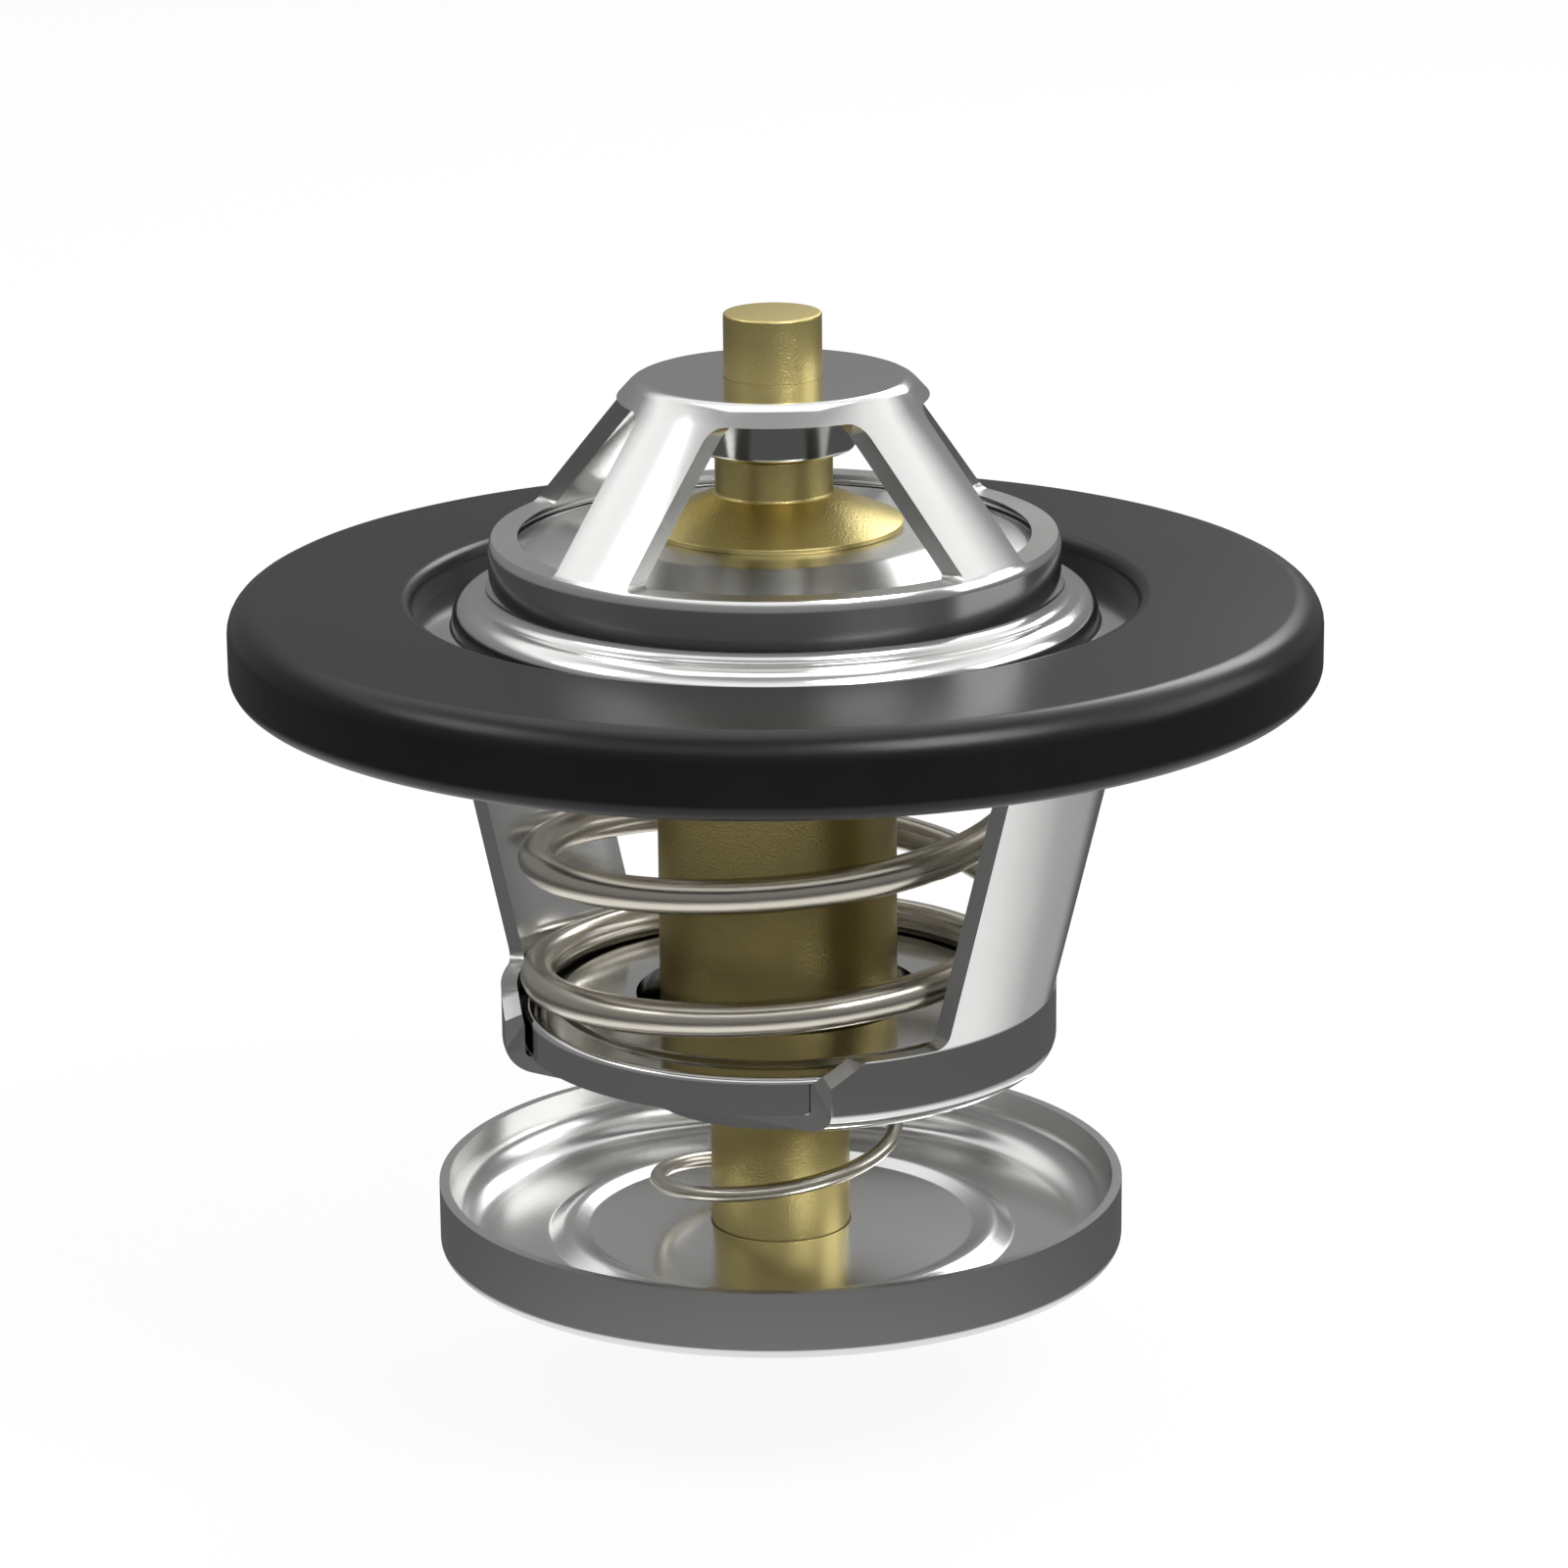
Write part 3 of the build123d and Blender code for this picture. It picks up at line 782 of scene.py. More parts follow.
@dataclass
class UpperBridge:
    """Stamping with flange, step, hub, sloping cage of four legs, and crown."""

    sheet: float = 1.2
    flange_r: float = 29.0
    step_r: float = 19.8
    step_height: float = 1.9
    hub_r: float = 17.5
    shoulder_height: float = 5.4
    sill_height: float = 5.6
    crown_r: float = 8.4
    crown_height: float = 15.35
    stud_hole_r: float = 3.03
    flange_bend: float = 0.85
    step_bend: float = 0.7
    hub_foot_bend: float = 1.3
    shoulder_bend: float = 0.7
    crown_bend: float = 0.75
    leg_count: int = 4
    leg_width: float = 5.6
    leg_azimuth: float = 50.0
    window_corner: float = 0.8
    sill_corner: float = 0.4
    corner_steps: int = 4
    cage_below: float = 2.0
    cage_above: float = 1.0
    quarter_slack: float = 0.001
    steps: int = 192

    def middle_line(self) -> list[Corner]:
        """List the corners of the sheet's middle line, from the stud hole to the flange's edge."""
        half = self.sheet / 2
        cone_turn = math.atan2(self.crown_height - self.shoulder_height, self.hub_r - self.crown_r)
        wall_turn = math.pi / 2 - cone_turn
        crown_z = self.crown_height
        shoulder_z = half + self.shoulder_height - half * math.tan(wall_turn / 2)
        return [
            Corner(self.stud_hole_r, crown_z),
            Corner(self.crown_r - half * math.tan(cone_turn / 2), crown_z, self.crown_bend),
            Corner(self.hub_r - half, shoulder_z, self.shoulder_bend),
            Corner(self.hub_r - half, self.step_height, self.hub_foot_bend),
            Corner(self.step_r - half, self.step_height, self.step_bend),
            Corner(self.step_r - half, 0.0, self.flange_bend),
            Corner(self.flange_r, 0.0),
        ]

    def leg_outline(self) -> list[tuple[float, float]]:
        """List half widths and heights of one leg, from the sill up to the crown."""
        sill = self.sheet / 2 + self.sill_height
        crown_under = self.sheet / 2 + self.crown_height - self.sheet
        half = self.leg_width / 2
        outline = []
        for step in range(self.corner_steps + 1):
            turn = math.pi / 2 * step / self.corner_steps
            flare = self.sill_corner * (1 - math.sin(turn))
            outline.append((half + flare, sill + self.sill_corner * (1 - math.cos(turn))))
        for step in range(self.corner_steps + 1):
            turn = math.pi / 2 * step / self.corner_steps
            flare = self.window_corner * (1 - math.cos(turn))
            outline.append((half + flare, crown_under - self.window_corner * (1 - math.sin(turn))))
        return outline

    def cut_windows(self, mesh: PieceMesh) -> None:
        """Cut the windows through the shell, as straight slots beside each leg.

        Args:
            mesh: The closed shell.
        """
        outline = self.leg_outline()
        low, high = outline[0][1] - self.cage_below, outline[-1][1] + self.cage_above
        for _, height in outline:
            cage = [face for face in mesh.bm.faces if any(low < vert.co.z < high for vert in face.verts)]
            mesh.cut(cage, height * UP, UP)
        outside = set()
        reach = math.cos(math.pi / self.leg_count) - self.quarter_slack
        for leg in range(self.leg_count):
            outward = at_azimuth(self.leg_azimuth + 360 * leg / self.leg_count, 1.0, 0.0)
            outside |= mesh.split_along(outline, outward, reach)
        mesh.drop(outside)

    def close_windows(self, mesh: PieceMesh) -> None:
        """Give each window its sheared edge.

        Args:
            mesh: The shell with its open windows.
        """
        rims = [edge for edge in mesh.bm.edges if len(edge.link_faces) == 1]
        reach = math.cos(math.pi / self.leg_count)
        for window in range(self.leg_count):
            middle = at_azimuth(self.leg_azimuth + 360 * (window + 0.5) / self.leg_count, 1.0, 0.0)
            own = []
            for edge in rims:
                flat = ((edge.verts[0].co + edge.verts[1].co) / 2).xy.to_3d()
                if flat.dot(middle) > reach * flat.length:
                    own.append(edge)
            mesh.close_rims(own)

    def build(self) -> None:
        """Press the sheet, cut the windows and dress it in bright sheet."""
        mesh = PieceMesh("upper_bridge_stamping")
        mesh.press(self.middle_line(), self.steps, self.sheet, self.leg_azimuth + 180 / self.leg_count)
        self.cut_windows(mesh)
        self.close_windows(mesh)
        bmesh.ops.recalc_face_normals(mesh.bm, faces=mesh.bm.faces[:])
        mesh.finish([SHEET, SHEARED], "upper_bridge", Body.HOUSING, "sheet_steel")


@dataclass
class StudGroup:
    """Brass stud in its steel bush under the crown, with the piston below."""

    stud_r: float = 3.0
    stud_top: float = 19.85
    stud_foot: float = 11.95
    stud_edge: float = 0.15
    socket_depth: float = 2.6
    bush_r: float = 5.0
    bush_top: float = 14.75
    bush_bottom: float = 11.55
    bush_edge: float = 0.3
    piston_r: float = 1.95
    piston_bottom: float = -18.45
    piston_tip_r: float = 0.7
    piston_tip_length: float = 2.4
    press_gap: float = 0.03
    steps: int = 96

    def build_stud(self) -> None:
        """Turn the stud with its socket."""
        socket_r = self.piston_r + self.press_gap
        socket_top = self.stud_foot + self.socket_depth
        section = [
            Corner(0.0, socket_top),
            Corner(socket_r, socket_top),
            Corner(socket_r, self.stud_foot),
            Corner(self.stud_r, self.stud_foot, self.stud_edge),
            Corner(self.stud_r, self.stud_top, self.stud_edge),
            Corner(0.0, self.stud_top),
        ]
        name, node = "calibration_stud_turned", "calibration_stud"
        turn_piece(name, section, self.steps, BRASS_TURNED, node, Body.HOUSING, "brass")

    def build_bush(self) -> None:
        """Turn the bush with its bore."""
        bore_r = self.stud_r + self.press_gap
        section = [
            Corner(bore_r, self.bush_bottom, self.stud_edge),
            Corner(self.bush_r, self.bush_bottom, self.bush_edge),
            Corner(self.bush_r, self.bush_top, self.stud_edge),
            Corner(bore_r, self.bush_top),
        ]
        name, slot = "stud_bush_turned", "bush_steel"
        turn_piece(name, section, self.steps, BUSH, "stud_bush", Body.HOUSING, slot, closed=True)

    def build_piston(self) -> None:
        """Turn the piston with its tapered tip."""
        top = self.stud_foot + self.socket_depth
        section = [
            Corner(0.0, self.piston_bottom),
            Corner(self.piston_tip_r, self.piston_bottom, self.stud_edge),
            Corner(self.piston_r, self.piston_bottom + self.piston_tip_length, self.bush_edge),
            Corner(self.piston_r, top, self.stud_edge),
            Corner(0.0, top),
        ]
        turn_piece("piston_rod", section, self.steps, PISTON, "piston", Body.HOUSING, "piston_steel")

    def build(self) -> None:
        """Build stud, bush and piston."""
        self.build_stud()
        self.build_bush()
        self.build_piston()


@dataclass
class WaxElement:
    """Brass guide and cup, with the boot and the wax inside."""

    valve_top: float = 6.65
    cup_bottom: float = -28.4
    cup_r: float = 7.4
    cup_wall: float = 0.8
    cup_floor: float = 1.6
    cup_foot_round: float = 1.4
    recess_r: float = 2.03
    recess_depth: float = 0.85
    crimp_drop: float = 3.3
    crimp_depth: float = 0.35
    crimp_width: float = 1.6
    crimp_edge: float = 0.3
    crimp_root: float = 0.6
    piston_r: float = 1.95
    slide_gap: float = 0.08
    packing_gap: float = 0.05
    neck_r: float = 3.6
    neck_top: float = 11.25
    neck_edge: float = 0.2
    bore_edge: float = 0.1
    neck_root_round: float = 0.3
    cone_top: float = 8.8
    base_r: float = 7.9
    base_height: float = 0.3
    base_round: float = 0.06
    base_foot_round: float = 0.08
    spigot: float = 4.6
    steps: int = 144

    def build_cup(self) -> None:
        """Spin the drawn cup with its crimp groove and the recess in its floor."""
        crimp_z = self.valve_top - self.crimp_drop
        half_crimp = self.crimp_width / 2
        bore_r = self.cup_r - self.cup_wall
        section = [
            Corner(0.0, self.cup_bottom + self.recess_depth),
            Corner(self.recess_r, self.cup_bottom + self.recess_depth),
            Corner(self.recess_r, self.cup_bottom),
            Corner(self.cup_r, self.cup_bottom, self.cup_foot_round),
            Corner(self.cup_r, crimp_z - half_crimp, self.crimp_edge),
            Corner(self.cup_r - self.crimp_depth, crimp_z, self.crimp_root),
            Corner(self.cup_r, crimp_z + half_crimp, self.crimp_edge),
            Corner(self.cup_r, self.valve_top),
            Corner(bore_r, self.valve_top),
            Corner(bore_r, crimp_z + half_crimp, self.crimp_edge),
            Corner(bore_r - self.crimp_depth, crimp_z, self.crimp_root),
            Corner(bore_r, crimp_z - half_crimp, self.crimp_edge),
            Corner(bore_r, self.cup_bottom + self.cup_floor),
            Corner(0.0, self.cup_bottom + self.cup_floor),
        ]
        name = "element_cup_drawn"
        turn_piece(name, section, self.steps, BRASS_DRAWN, "element_cup", Body.ELEMENT, "brass")

    def build_guide(self) -> None:
        """Turn the guide with its neck, cone and spigot."""
        bore_r = self.piston_r + self.slide_gap
        spigot_r = self.cup_r - self.cup_wall - self.packing_gap
        groove_r = spigot_r - self.crimp_depth
        crimp_z = self.valve_top - self.crimp_drop
        half_crimp = self.crimp_width / 2
        bottom = self.valve_top - self.spigot
        section = [
            Corner(bore_r, self.neck_top, self.bore_edge),
            Corner(self.neck_r, self.neck_top, self.neck_edge),
            Corner(self.neck_r, self.cone_top, self.neck_root_round),
            Corner(self.base_r, self.valve_top + self.base_height, self.base_round),
            Corner(self.base_r, self.valve_top, self.base_foot_round),
            Corner(spigot_r, self.valve_top),
            Corner(spigot_r, crimp_z + half_crimp + self.crimp_depth),
            Corner(groove_r, crimp_z + half_crimp),
            Corner(groove_r, crimp_z - half_crimp),
            Corner(spigot_r, crimp_z - half_crimp - self.crimp_depth),
            Corner(spigot_r, bottom),
            Corner(bore_r, bottom),
        ]
        name, node = "element_guide_turned", "element_guide"
        turn_piece(name, section, self.steps, BRASS_TURNED, node, Body.ELEMENT, "brass", closed=True)

    def dress_inner_pieces(self) -> None:
        """Give the boot and the wax, which stay as CAD nodes, their finishes."""
        for node, finish in (("piston_boot", BOOT_RUBBER), ("wax_charge", WAX)):
            dress_node(node, finish)

    def build(self) -> None:
        """Build cup and guide and dress what is inside."""
        self.build_cup()
        self.build_guide()
        self.dress_inner_pieces()


def dress_node(node: str, finish: Finish) -> None:
    """Give a CAD node that stays in view, or stays hidden inside, a procedural finish."""
    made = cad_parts[node]
    if not made.material_slots:
        made.data.materials.append(finish.material())
    for holder in made.material_slots:
        holder.material = finish.material()
    log.info("%s: CAD node dressed in %s", node, finish.name)


@dataclass
class ValvePlates:
    """The three pressed rings: main valve, spring retainer and bypass disc."""

    valve_top: float = 6.65
    valve_sheet: float = 0.9
    valve_hole_r: float = 7.43
    valve_flat_r: float = 10.9
    valve_rim_r: float = 16.1
    valve_slope: float = 14.0
    valve_bend: float = 2.0
    retainer_sheet: float = 0.9
    retainer_hole_r: float = 8.9
    retainer_centre_r: float = 13.6
    retainer_r: float = 16.0
    retainer_top: float = -23.2
    retainer_ledge: float = 0.35
    retainer_foot: float = -25.9
    retainer_bend: float = 0.45
    ledge_bend: float = 0.3
    disc_sheet: float = 0.6
    disc_hole_r: float = 4.43
    disc_centre_r: float = 12.05
    disc_crest_r: float = 13.35
    disc_bead_r: float = 14.65
    disc_r: float = 21.45
    disc_top: float = -38.3
    disc_cone_drop: float = 0.35
    disc_bead_rise: float = 0.45
    disc_floor_drop: float = 0.6
    disc_depth: float = 4.3
    disc_bead_bend: float = 0.8
    disc_rim_bend: float = 2.4
    disc_foot_bend: float = 0.7
    steps: int = 192

    def build_main_valve(self) -> None:
        """Press the valve plate with its sloping skirt."""
        half = self.valve_sheet / 2
        slope = math.radians(self.valve_slope)
        rim_r = self.valve_rim_r - half * math.sin(slope)
        drop = (rim_r - self.valve_flat_r) * math.tan(slope)
        line = [
            Corner(self.valve_hole_r, self.valve_top - half),
            Corner(self.valve_flat_r, self.valve_top - half, self.valve_bend),
            Corner(rim_r, self.valve_top - half - drop),
        ]
        mesh = PieceMesh("main_valve_plate")
        mesh.press(line, self.steps, self.valve_sheet)
        mesh.finish([VALVE_SHEET, SHEARED], "main_valve", Body.ELEMENT, "sheet_steel")

    def build_retainer(self) -> None:
        """Build the inverted cup that holds the main spring, with its tight outer bend."""
        sheet = self.retainer_sheet
        ledge_z = self.retainer_top - self.retainer_ledge
        ledge_r = self.retainer_centre_r + self.retainer_ledge
        inner_r = self.retainer_r - sheet
        section = [
            Corner(self.retainer_hole_r, self.retainer_top),
            Corner(self.retainer_centre_r, self.retainer_top, self.ledge_bend),
            Corner(ledge_r, ledge_z, self.ledge_bend),
            Corner(self.retainer_r, ledge_z, self.retainer_bend),
            Corner(self.retainer_r, self.retainer_foot),
            Corner(inner_r, self.retainer_foot),
            Corner(inner_r, ledge_z - sheet, self.retainer_bend),
            Corner(ledge_r - self.ledge_bend, ledge_z - sheet, self.ledge_bend),
            Corner(self.retainer_centre_r - self.ledge_bend, self.retainer_top - sheet, self.ledge_bend),
            Corner(self.retainer_hole_r, self.retainer_top - sheet),
        ]
        name, node = "spring_retainer_pressing", "spring_retainer"
        turn_piece(name, section, self.steps, SHEET, node, Body.HOUSING, "sheet_steel", closed=True)

    def build_disc(self) -> None:
        """Build the pan with its slightly raised centre, its bead and its softly rounded rim."""
        sheet = self.disc_sheet
        edge_z = self.disc_top - self.disc_cone_drop
        floor_z = self.disc_top - self.disc_floor_drop
        crest_z = edge_z + self.disc_bead_rise
        foot = floor_z - sheet
        tight, wide = self.disc_bead_bend - sheet / 2, self.disc_bead_bend + sheet / 2
        section = [
            Corner(self.disc_hole_r, self.disc_top - sheet),
            Corner(self.disc_centre_r, edge_z - sheet, wide),
            Corner(self.disc_crest_r, crest_z - sheet, tight),
            Corner(self.disc_bead_r, foot, wide),
            Corner(self.disc_r, foot, self.disc_foot_bend),
            Corner(self.disc_r, foot + self.disc_depth),
            Corner(self.disc_r - sheet, foot + self.disc_depth),
            Corner(self.disc_r - sheet, floor_z, self.disc_rim_bend),
            Corner(self.disc_bead_r, floor_z, tight),
            Corner(self.disc_crest_r, crest_z, wide),
            Corner(self.disc_centre_r, edge_z, tight),
            Corner(self.disc_hole_r, self.disc_top),
        ]
        name, node = "bypass_disc_pressing", "bypass_disc"
        turn_piece(name, section, self.steps, PAN_SHEET, node, Body.BYPASS, "sheet_steel", closed=True)

    def build(self) -> None:
        """Build the three rings."""
        self.build_main_valve()
        self.build_retainer()
        self.build_disc()


@dataclass
class LowerFrame:
    """Stamping with base, two feet, two straps with tabs, and the drawn guide collar."""

    sheet: float = 1.0
    collar_r: float = 7.98
    collar_bottom: float = -29.4
    base_bottom: float = -26.9
    foot_r: float = 16.8
    foot_height: float = 4.5
    foot_width: float = 24.8
    foot_corner_across: float = 1.6
    foot_corner_down: float = 1.5
    strap_width: float = 12.0
    strap_azimuth: float = 56.0
    strap_top_r: float = 22.25
    strap_root_round: float = 0.8
    tab_end_r: float = 25.45
    tab_top: float = -0.6
    collar_bend: float = 1.0
    foot_bend: float = 0.8
    strap_foot_bend: float = 0.9
    tab_bend: float = 1.0
    tab_slack: float = 0.004
    corner_steps: int = 5
    steps: int = 192

    def middle_line(self) -> list[Corner]:
        """List the corners of the sheet's middle line, from the collar's rim to the tab's end."""
        half = self.sheet / 2
        base_z = self.base_bottom + half
        tab_z = self.tab_top - half
        foot_top = self.base_bottom + self.foot_height
        return [
            Corner(self.collar_r, self.collar_bottom),
            Corner(self.collar_r, base_z, self.collar_bend),
            Corner(self.foot_r, base_z, self.foot_bend),
            Corner(self.foot_r, foot_top, self.strap_foot_bend),
            Corner(self.strap_top_r, tab_z, self.tab_bend),
            Corner(self.tab_end_r, tab_z),
        ]

    def side_outline(self) -> list[tuple[float, float]]:
        """List half widths and heights of the blank as seen along the straps."""
        foot_top = self.base_bottom + self.foot_height
        half_strap = self.strap_width / 2
        outline = [
            (self.foot_width / 2, self.collar_bottom - self.sheet),
            (self.foot_width / 2, foot_top - self.foot_corner_down),
            (self.foot_width / 2 - self.foot_corner_across, foot_top),
        ]
        for step in range(self.corner_steps + 1):
            turn = math.pi / 2 * step / self.corner_steps
            flare = self.strap_root_round * (1 - math.sin(turn))
            outline.append((half_strap + flare, foot_top + self.strap_root_round * (1 - math.cos(turn))))
        outline.append((half_strap, self.sheet))
        return outline

    def trim(self, mesh: PieceMesh) -> None:
        """Cut the shell along the blank's outline, drop what lies outside and close both sides.

        Args:
            mesh: The closed shell.
        """
        outward = at_azimuth(self.strap_azimuth, 1.0, 0.0)
        outline = self.side_outline()
        for _, height in outline:
            mesh.cut(mesh.bm.faces[:], height * UP, UP)
        mesh.drop(mesh.split_along(outline, outward))

        across = UP.cross(outward)
        inside_tab = self.tab_end_r - self.tab_slack
        for side in (1.0, -1.0):
            own = []
            for edge in mesh.bm.edges:
                if len(edge.link_faces) == 1 and edge.verts[0].co.dot(across) * side > 0:
                    if min(vert.co.xy.length for vert in edge.verts) < inside_tab:
                        own.append(edge)
            mesh.close_rims(own)

    def build(self) -> None:
        """Press the sheet, trim it to the blank and dress it in bright sheet."""
        mesh = PieceMesh("lower_frame_stamping")
        mesh.press(self.middle_line(), self.steps, self.sheet, self.strap_azimuth)
        self.trim(mesh)
        bmesh.ops.recalc_face_normals(mesh.bm, faces=mesh.bm.faces[:])
        mesh.finish([SHEET, SHEARED], "lower_frame", Body.HOUSING, "sheet_steel")


@dataclass
class WireCoil:
    """Round wire wound about the axis, made one short spin at a time."""

    name: str
    wire: float
    start: float
    sweep: float
    radius_at: Callable[[float], float]
    height_at: Callable[[float], float]
    step: float = 5.0
    facets: int = 18
    end_round: float = 0.12
    end_segments: int = 2

    def build(self) -> bpy.types.Object:
        """Wind the wire, close and round its ends.

        Returns:
            The coil's object, which isn't seated yet.
        """
        mesh = PieceMesh(self.name)
        first = at_azimuth(self.start, self.radius_at(0.0), self.height_at(0.0))
        stand = Matrix.Translation(first) @ Matrix.Rotation(math.radians(self.start - 90), 4, "Z")
        stand = stand @ Matrix.Rotation(math.pi / 2, 4, "X")
        made = bmesh.ops.create_circle(mesh.bm, radius=self.wire / 2, segments=self.facets, matrix=stand)
        ring = made["verts"]
        edges = list({edge for vert in ring for edge in vert.link_edges})
        count = round(self.sweep / self.step)
        for number in range(count):
            before = self.sweep * number / count
            after = self.sweep * (number + 1) / count
            spun = bmesh.ops.spin(
                mesh.bm,
                geom=ring + edges,
                cent=(0, 0, 0),
                axis=(0, 0, 1),
                dvec=(0, 0, self.height_at(after) - self.height_at(before)),
                angle=math.radians(after - before),
                steps=1,
            )["geom_last"]
            ring = [item for item in spun if isinstance(item, bmesh.types.BMVert)]
            edges = [item for item in spun if isinstance(item, bmesh.types.BMEdge)]
            move = at_azimuth(self.start + after, self.radius_at(after) - self.radius_at(before), 0.0)
            bmesh.ops.translate(mesh.bm, vec=move, verts=ring)
        open_edges = [edge for edge in mesh.bm.edges if len(edge.link_faces) == 1]
        caps = bmesh.ops.holes_fill(mesh.bm, edges=open_edges, sides=self.facets)["faces"]
        bmesh.ops.recalc_face_normals(mesh.bm, faces=mesh.bm.faces[:])
        bmesh.ops.bevel(
            mesh.bm,
            geom=list({edge for cap in caps for edge in cap.edges}),
            offset=self.end_round,
            segments=self.end_segments,
            profile=0.5,
            affect="EDGES",
            material=-1,
        )
        return mesh.to_object([WIRE])


@dataclass
class MainSpring:
    """Coil spring between the retainer and the valve."""

    wire: float = 2.2
    mean_r: float = 15.0
    pitch: float = 7.7
    start: float = 45.0
    ease: float = 45.0
    dead_bottom: float = 200.0
    dead_top: float = 250.0
    ledge_top: float = -23.55
    valve_top: float = 6.65
    valve_sheet: float = 0.9
    valve_flat_r: float = 10.9
    valve_slope: float = 14.0
    seat_gap: float = 0.05
    stroke: float = 9.0

    def build(self) -> None:
        """Wind the spring, seat it on the housing side and give it a mesh of its own."""
        slope = math.radians(self.valve_slope)
        low = self.ledge_top + self.wire / 2
        drop = (self.mean_r - self.valve_flat_r) * math.tan(slope)
        under = (self.valve_sheet + self.wire / 2) / math.cos(slope)
        high = self.valve_top - drop - under - self.seat_gap
        lift = 360 * (high - low) / self.pitch

        def height_at(turned: float) -> float:
            """Give the wire's height after a part of the sweep."""
            lifted = eased(turned - self.dead_bottom, self.ease)
            lifted -= eased(turned - self.dead_bottom - lift, self.ease)
            return low + self.pitch * lifted / 360

        sweep = self.dead_bottom + lift + self.dead_top
        name = "main_spring_coil"
        coil = WireCoil(name, self.wire, self.start, sweep, lambda turned: self.mean_r, height_at)
        made = seat(coil.build(), "main_spring", Body.HOUSING)
        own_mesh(made)


@dataclass
class BypassValve:
    """Brass stem with its clip, and the tapered spring that holds the disc."""

    cup_bottom: float = -28.4
    disc_top: float = -38.3
    disc_sheet: float = 0.6
    disc_foot: float = -39.5
    disc_centre_r: float = 12.05
    disc_cone_drop: float = 0.35
    stem_r: float = 4.35
    nose_r: float = 2.0
    nose: float = 0.8
    stem_edge: float = 0.1
    floor_gap: float = 0.05
    clip_wire: float = 0.4
    clip_slack: float = 0.06
    clip_gap_angle: float = 70.0
    clip_facets: int = 12
    clip_end_round: float = 0.05
    groove_share: float = 0.9
    packing_gap: float = 0.05
    wire: float = 1.0
    top_r: float = 6.55
    flare: float = 1.35
    pitch: float = 7.2
    start: float = 150.0
    dead_top: float = 290.0
    ease: float = 45.0
    taper_power: float = 1.6
    relief: float = 5.0
    facets: int = 14
    end_round: float = 0.08
    steps: int = 120

    def clip_height(self) -> float:
        """Give the height of the clip's middle."""
        return self.disc_top - self.disc_sheet - self.packing_gap - self.clip_wire / 2

    def build_stem(self) -> None:
        """Turn the stem with its nose and the groove for the clip."""
        clip_z = self.clip_height()
        half = self.clip_wire / 2
        groove_round = half * self.groove_share
        bottom = self.disc_foot + self.floor_gap
        section = [
            Corner(0.0, bottom),
            Corner(self.stem_r, bottom, self.stem_edge),
            Corner(self.stem_r, clip_z - half),
            Corner(self.stem_r - half, clip_z - half, groove_round),
            Corner(self.stem_r - half, clip_z + half, groove_round),
            Corner(self.stem_r, clip_z + half),
            Corner(self.stem_r, self.cup_bottom),
            Corner(self.nose_r, self.cup_bottom),
            Corner(self.nose_r, self.cup_bottom + self.nose),
            Corner(0.0, self.cup_bottom + self.nose),
        ]
        name = "bypass_stem_turned"
        turn_piece(name, section, self.steps, BRASS_TURNED, "bypass_stem", Body.ELEMENT, "brass")

    def build_clip(self) -> None:
        """Bend the open ring that snaps into the stem's groove."""
        coil = WireCoil(
            "stem_clip_ring",
            self.clip_wire - self.clip_slack,
            self.clip_gap_angle / 2,
            360 - self.clip_gap_angle,
            lambda turned: self.stem_r,
            lambda turned: self.clip_height(),
            facets=self.clip_facets,
            end_round=self.clip_end_round,
        )
        seat(coil.build(), "stem_clip", Body.ELEMENT)

    def build_spring(self) -> None:
        """Wind the tapered spring, seat it on the element and give it a mesh of its own."""
        slope = self.disc_cone_drop / (self.disc_centre_r - self.stem_r)
        seat_z = self.disc_top - slope * (self.top_r + self.flare - self.stem_r)
        low = seat_z + self.packing_gap + self.wire / 2
        high = self.cup_bottom - self.wire / 2
        lift = 360 * (high - low) / self.pitch

        def lifted_at(turned: float) -> float:
            """Give the part of the sweep that has climbed."""
            return turned - eased(turned - lift, self.ease)

        def radius_at(turned: float) -> float:
            """Give the wire's distance from the axis, which the taper lessens as it climbs."""
            climbed = max(0.0, lifted_at(turned) / lift)
            return self.top_r + self.flare * (1 - climbed**self.taper_power)

        coil = WireCoil(
            "bypass_spring_coil",
            self.wire,
            self.start,
            lift + self.dead_top,
            radius_at,
            lambda turned: low + self.pitch * lifted_at(turned) / 360,
            facets=self.facets,
            end_round=self.end_round,
        )
        made = seat(coil.build(), "bypass_spring", Body.ELEMENT)
        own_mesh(made)

    def build(self) -> None:
        """Build stem, clip and spring."""
        self.build_stem()
        self.build_clip()
        self.build_spring()


@dataclass
class Lamp:
    """A soft rectangular lamp aimed at the part, with its angles in degrees and its sizes in metres."""

    name: str
    azimuth: float
    elevation: float
    distance: float
    width: float
    height: float
    power: float

    def build(self, target: Vector) -> None:
        """Place the lamp and turn it towards the target.

        Args:
            target: The point that it faces, in metres.
        """
        light = bpy.data.lights.new(self.name, "AREA")
        light.shape = "RECTANGLE"
        light.size = self.width
        light.size_y = self.height
        light.energy = self.power
        turn = math.radians(self.elevation)
        level, height = self.distance * math.cos(turn), self.distance * math.sin(turn)
        spot = target + at_azimuth(self.azimuth, level, height)
        made = put_in_scene(self.name, light)
        made.location = spot
        made.rotation_euler = (target - spot).to_track_quat("-Z", "Y").to_euler()


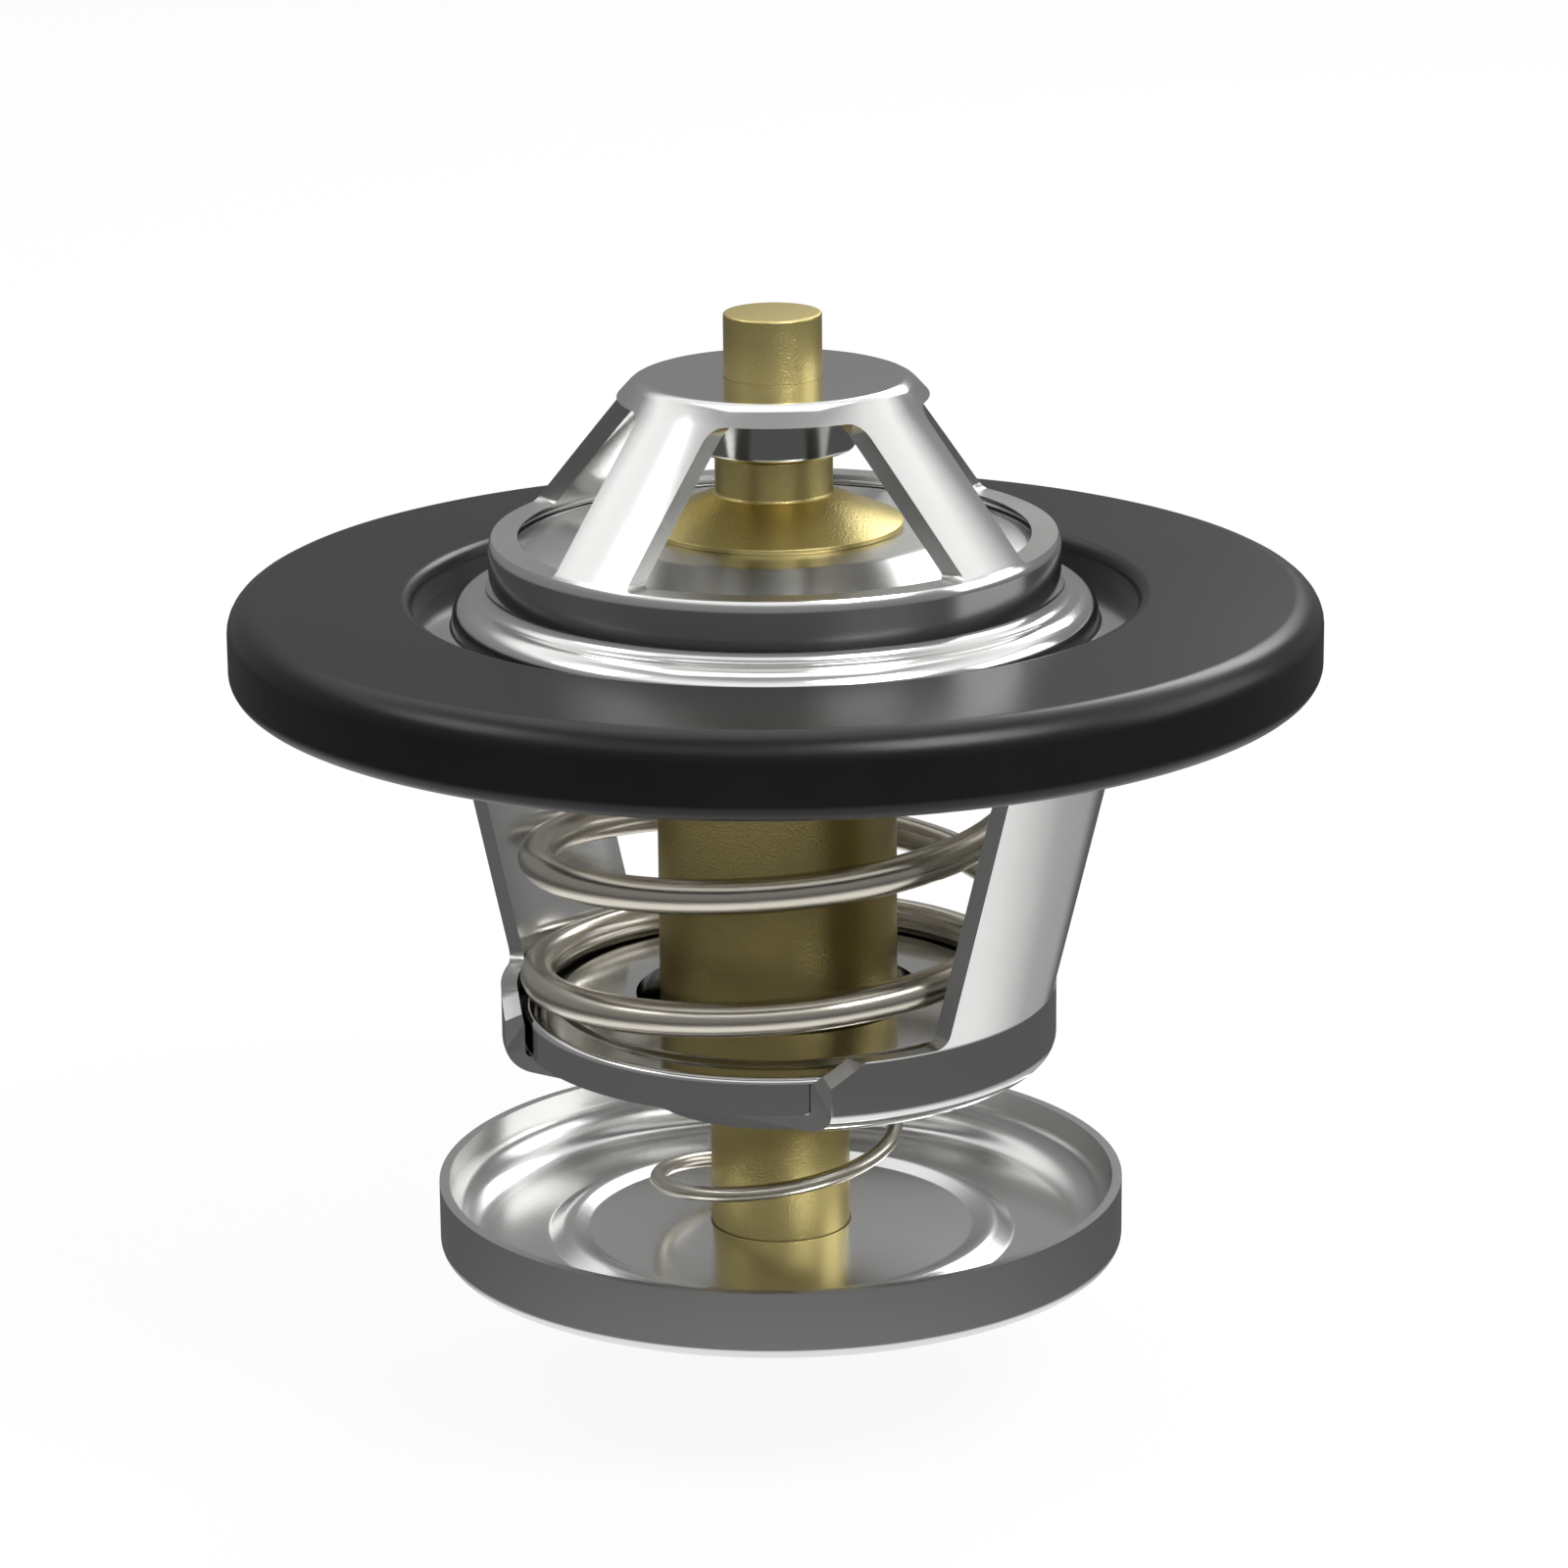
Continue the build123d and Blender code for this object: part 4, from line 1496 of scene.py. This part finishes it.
@dataclass
class Studio:
    """Pale floor, soft lamps and a plain surrounding that metal reflects, with sizes in metres.

    The floor lies just below the bypass disc's place at full stroke.
    """

    floor_z: float = -0.049
    floor_r: float = 6.0
    floor_segments: int = 96
    floor_colour: float = 0.86
    backdrop_share: float = 0.9
    horizon: float = 0.11
    above: float = 1.2
    below: float = 1.0
    target_z: float = -0.01

    def build_floor(self) -> None:
        """Lay the floor, which keeps the part's shadow."""
        bm = bmesh.new()
        bmesh.ops.create_circle(bm, cap_ends=True, radius=self.floor_r, segments=self.floor_segments)
        bmesh.ops.translate(bm, vec=(0, 0, self.floor_z), verts=bm.verts[:])
        mesh = bpy.data.meshes.new("studio_floor")
        bm.to_mesh(mesh)
        bm.free()
        made = bpy.data.materials.new("pale_floor")
        board = ShaderBoard.of(made)
        tone = (self.floor_colour, self.floor_colour, self.floor_colour, 1)
        shader = board.add("ShaderNodeBsdfDiffuse", {"Color": tone})
        glow = board.add("ShaderNodeEmission", {"Color": (1, 1, 1, 1), "Strength": 1.0})
        board.finish(board.split_camera_rays(self.backdrop_share, shader, glow))
        mesh.materials.append(made)
        floor = put_in_scene("studio_floor", mesh)
        floor.visible_glossy = False

    def dome_levels(self) -> list[tuple[float, float]]:
        """List the dome's brightness from straight down, -1, to straight up, 1."""
        return [
            (-1.00, self.below),
            (-0.60, self.below),
            (-0.50, self.below * 0.45),
            (-0.42, self.below * 0.40),
            (-0.385, self.horizon),
            (-0.19, self.horizon),
            (-0.04, self.horizon * 2.1),
            (0.20, self.horizon * 2.2),
            (0.34, self.horizon * 2.5),
            (0.46, self.above * 0.26),
            (0.62, self.above),
            (0.78, self.above * 0.8),
            (0.92, self.above * 0.35),
            (1.00, self.above * 0.3),
        ]

    def build_world(self) -> None:
        """Surround the part by a plain dome: pale above and below, dim at the horizon."""
        world = bpy.data.worlds.new("studio_world")
        bpy.context.scene.world = world
        board = ShaderBoard.of(world)
        direction = board.add("ShaderNodeTexCoord").outputs["Generated"]
        height = board.add("ShaderNodeSeparateXYZ", {0: direction}).outputs[2]
        ramp = board.add("ShaderNodeValToRGB", {0: board.spread_sides(height)})
        stops = self.dome_levels()
        elements = ramp.color_ramp.elements
        while len(elements) < len(stops):
            elements.new(0.5)
        for element, (share, level) in zip(elements, stops):
            element.position = share * 0.5 + 0.5
            element.color = (level, level, level, 1)
        around = board.add("ShaderNodeBackground", {"Color": ramp.outputs[0], "Strength": 1.0})
        seen = board.add("ShaderNodeBackground", {"Color": (1, 1, 1, 1), "Strength": 1.0})
        board.finish(board.split_camera_rays(1.0, around, seen), "ShaderNodeOutputWorld")

    def build(self) -> None:
        """Build the floor, the surrounding and the lamps."""
        self.build_floor()
        self.build_world()
        target = Vector((0, 0, self.target_z))
        for lamp in (
            Lamp("key_softbox", 42, 46, 0.55, 0.26, 0.26, 1.7),
            Lamp("side_softbox", 96, 20, 0.60, 0.42, 0.26, 0.58),
            Lamp("back_softbox", 156, 33, 0.60, 0.24, 0.16, 0.7),
            Lamp("fill_softbox", -80, 44, 0.60, 0.24, 0.22, 0.42),
            Lamp("top_softbox", 180, 76, 0.60, 0.45, 0.40, 0.6),
        ):
            lamp.build(target)


@dataclass
class PhotoCamera:
    """The camera at the picture's viewing angle, with the picture's framing.

    Its places are in millimetres, its sensor too, its roll is in degrees, and its range in metres.
    """

    distance: float = 352.256
    height: float = 92.146
    aim_height: float = -9.829
    roll: float = -0.55
    focal_pixels: float = 6059.07
    frame_pixels: float = 1600.0
    axis_pixel: float = 792.71
    sensor: float = 36.0
    nearest: float = 0.01
    farthest: float = 50.0

    def build(self) -> None:
        """Place the camera and make it the scene's own."""
        data = bpy.data.cameras.new("picture_camera")
        data.sensor_width = self.sensor
        data.lens = self.focal_pixels / self.frame_pixels * self.sensor
        data.shift_x = (self.frame_pixels / 2 - self.axis_pixel) / self.frame_pixels
        data.clip_start = self.nearest
        data.clip_end = self.farthest
        spot = Vector((0, -self.distance, self.height)) * MM
        aim = Vector((0, 0, self.aim_height)) * MM
        look = (aim - spot).to_track_quat("-Z", "Y").to_matrix().to_4x4()
        roll = Matrix.Rotation(math.radians(self.roll), 4, "Z")
        made = put_in_scene("picture_camera", data)
        made.matrix_world = Matrix.Translation(spot) @ look @ roll
        bpy.context.scene.camera = made


def main() -> None:
    """Build all sub-assemblies, the studio and the camera."""
    for group in (
        SealRing(),
        UpperBridge(),
        StudGroup(),
        WaxElement(),
        ValvePlates(),
        MainSpring(),
        LowerFrame(),
        BypassValve(),
        Studio(),
        PhotoCamera(),
    ):
        group.build()
        log.info("%s: built", type(group).__name__)
    bpy.context.scene.view_settings.view_transform = "Standard"


if __name__ == "__main__":
    main()
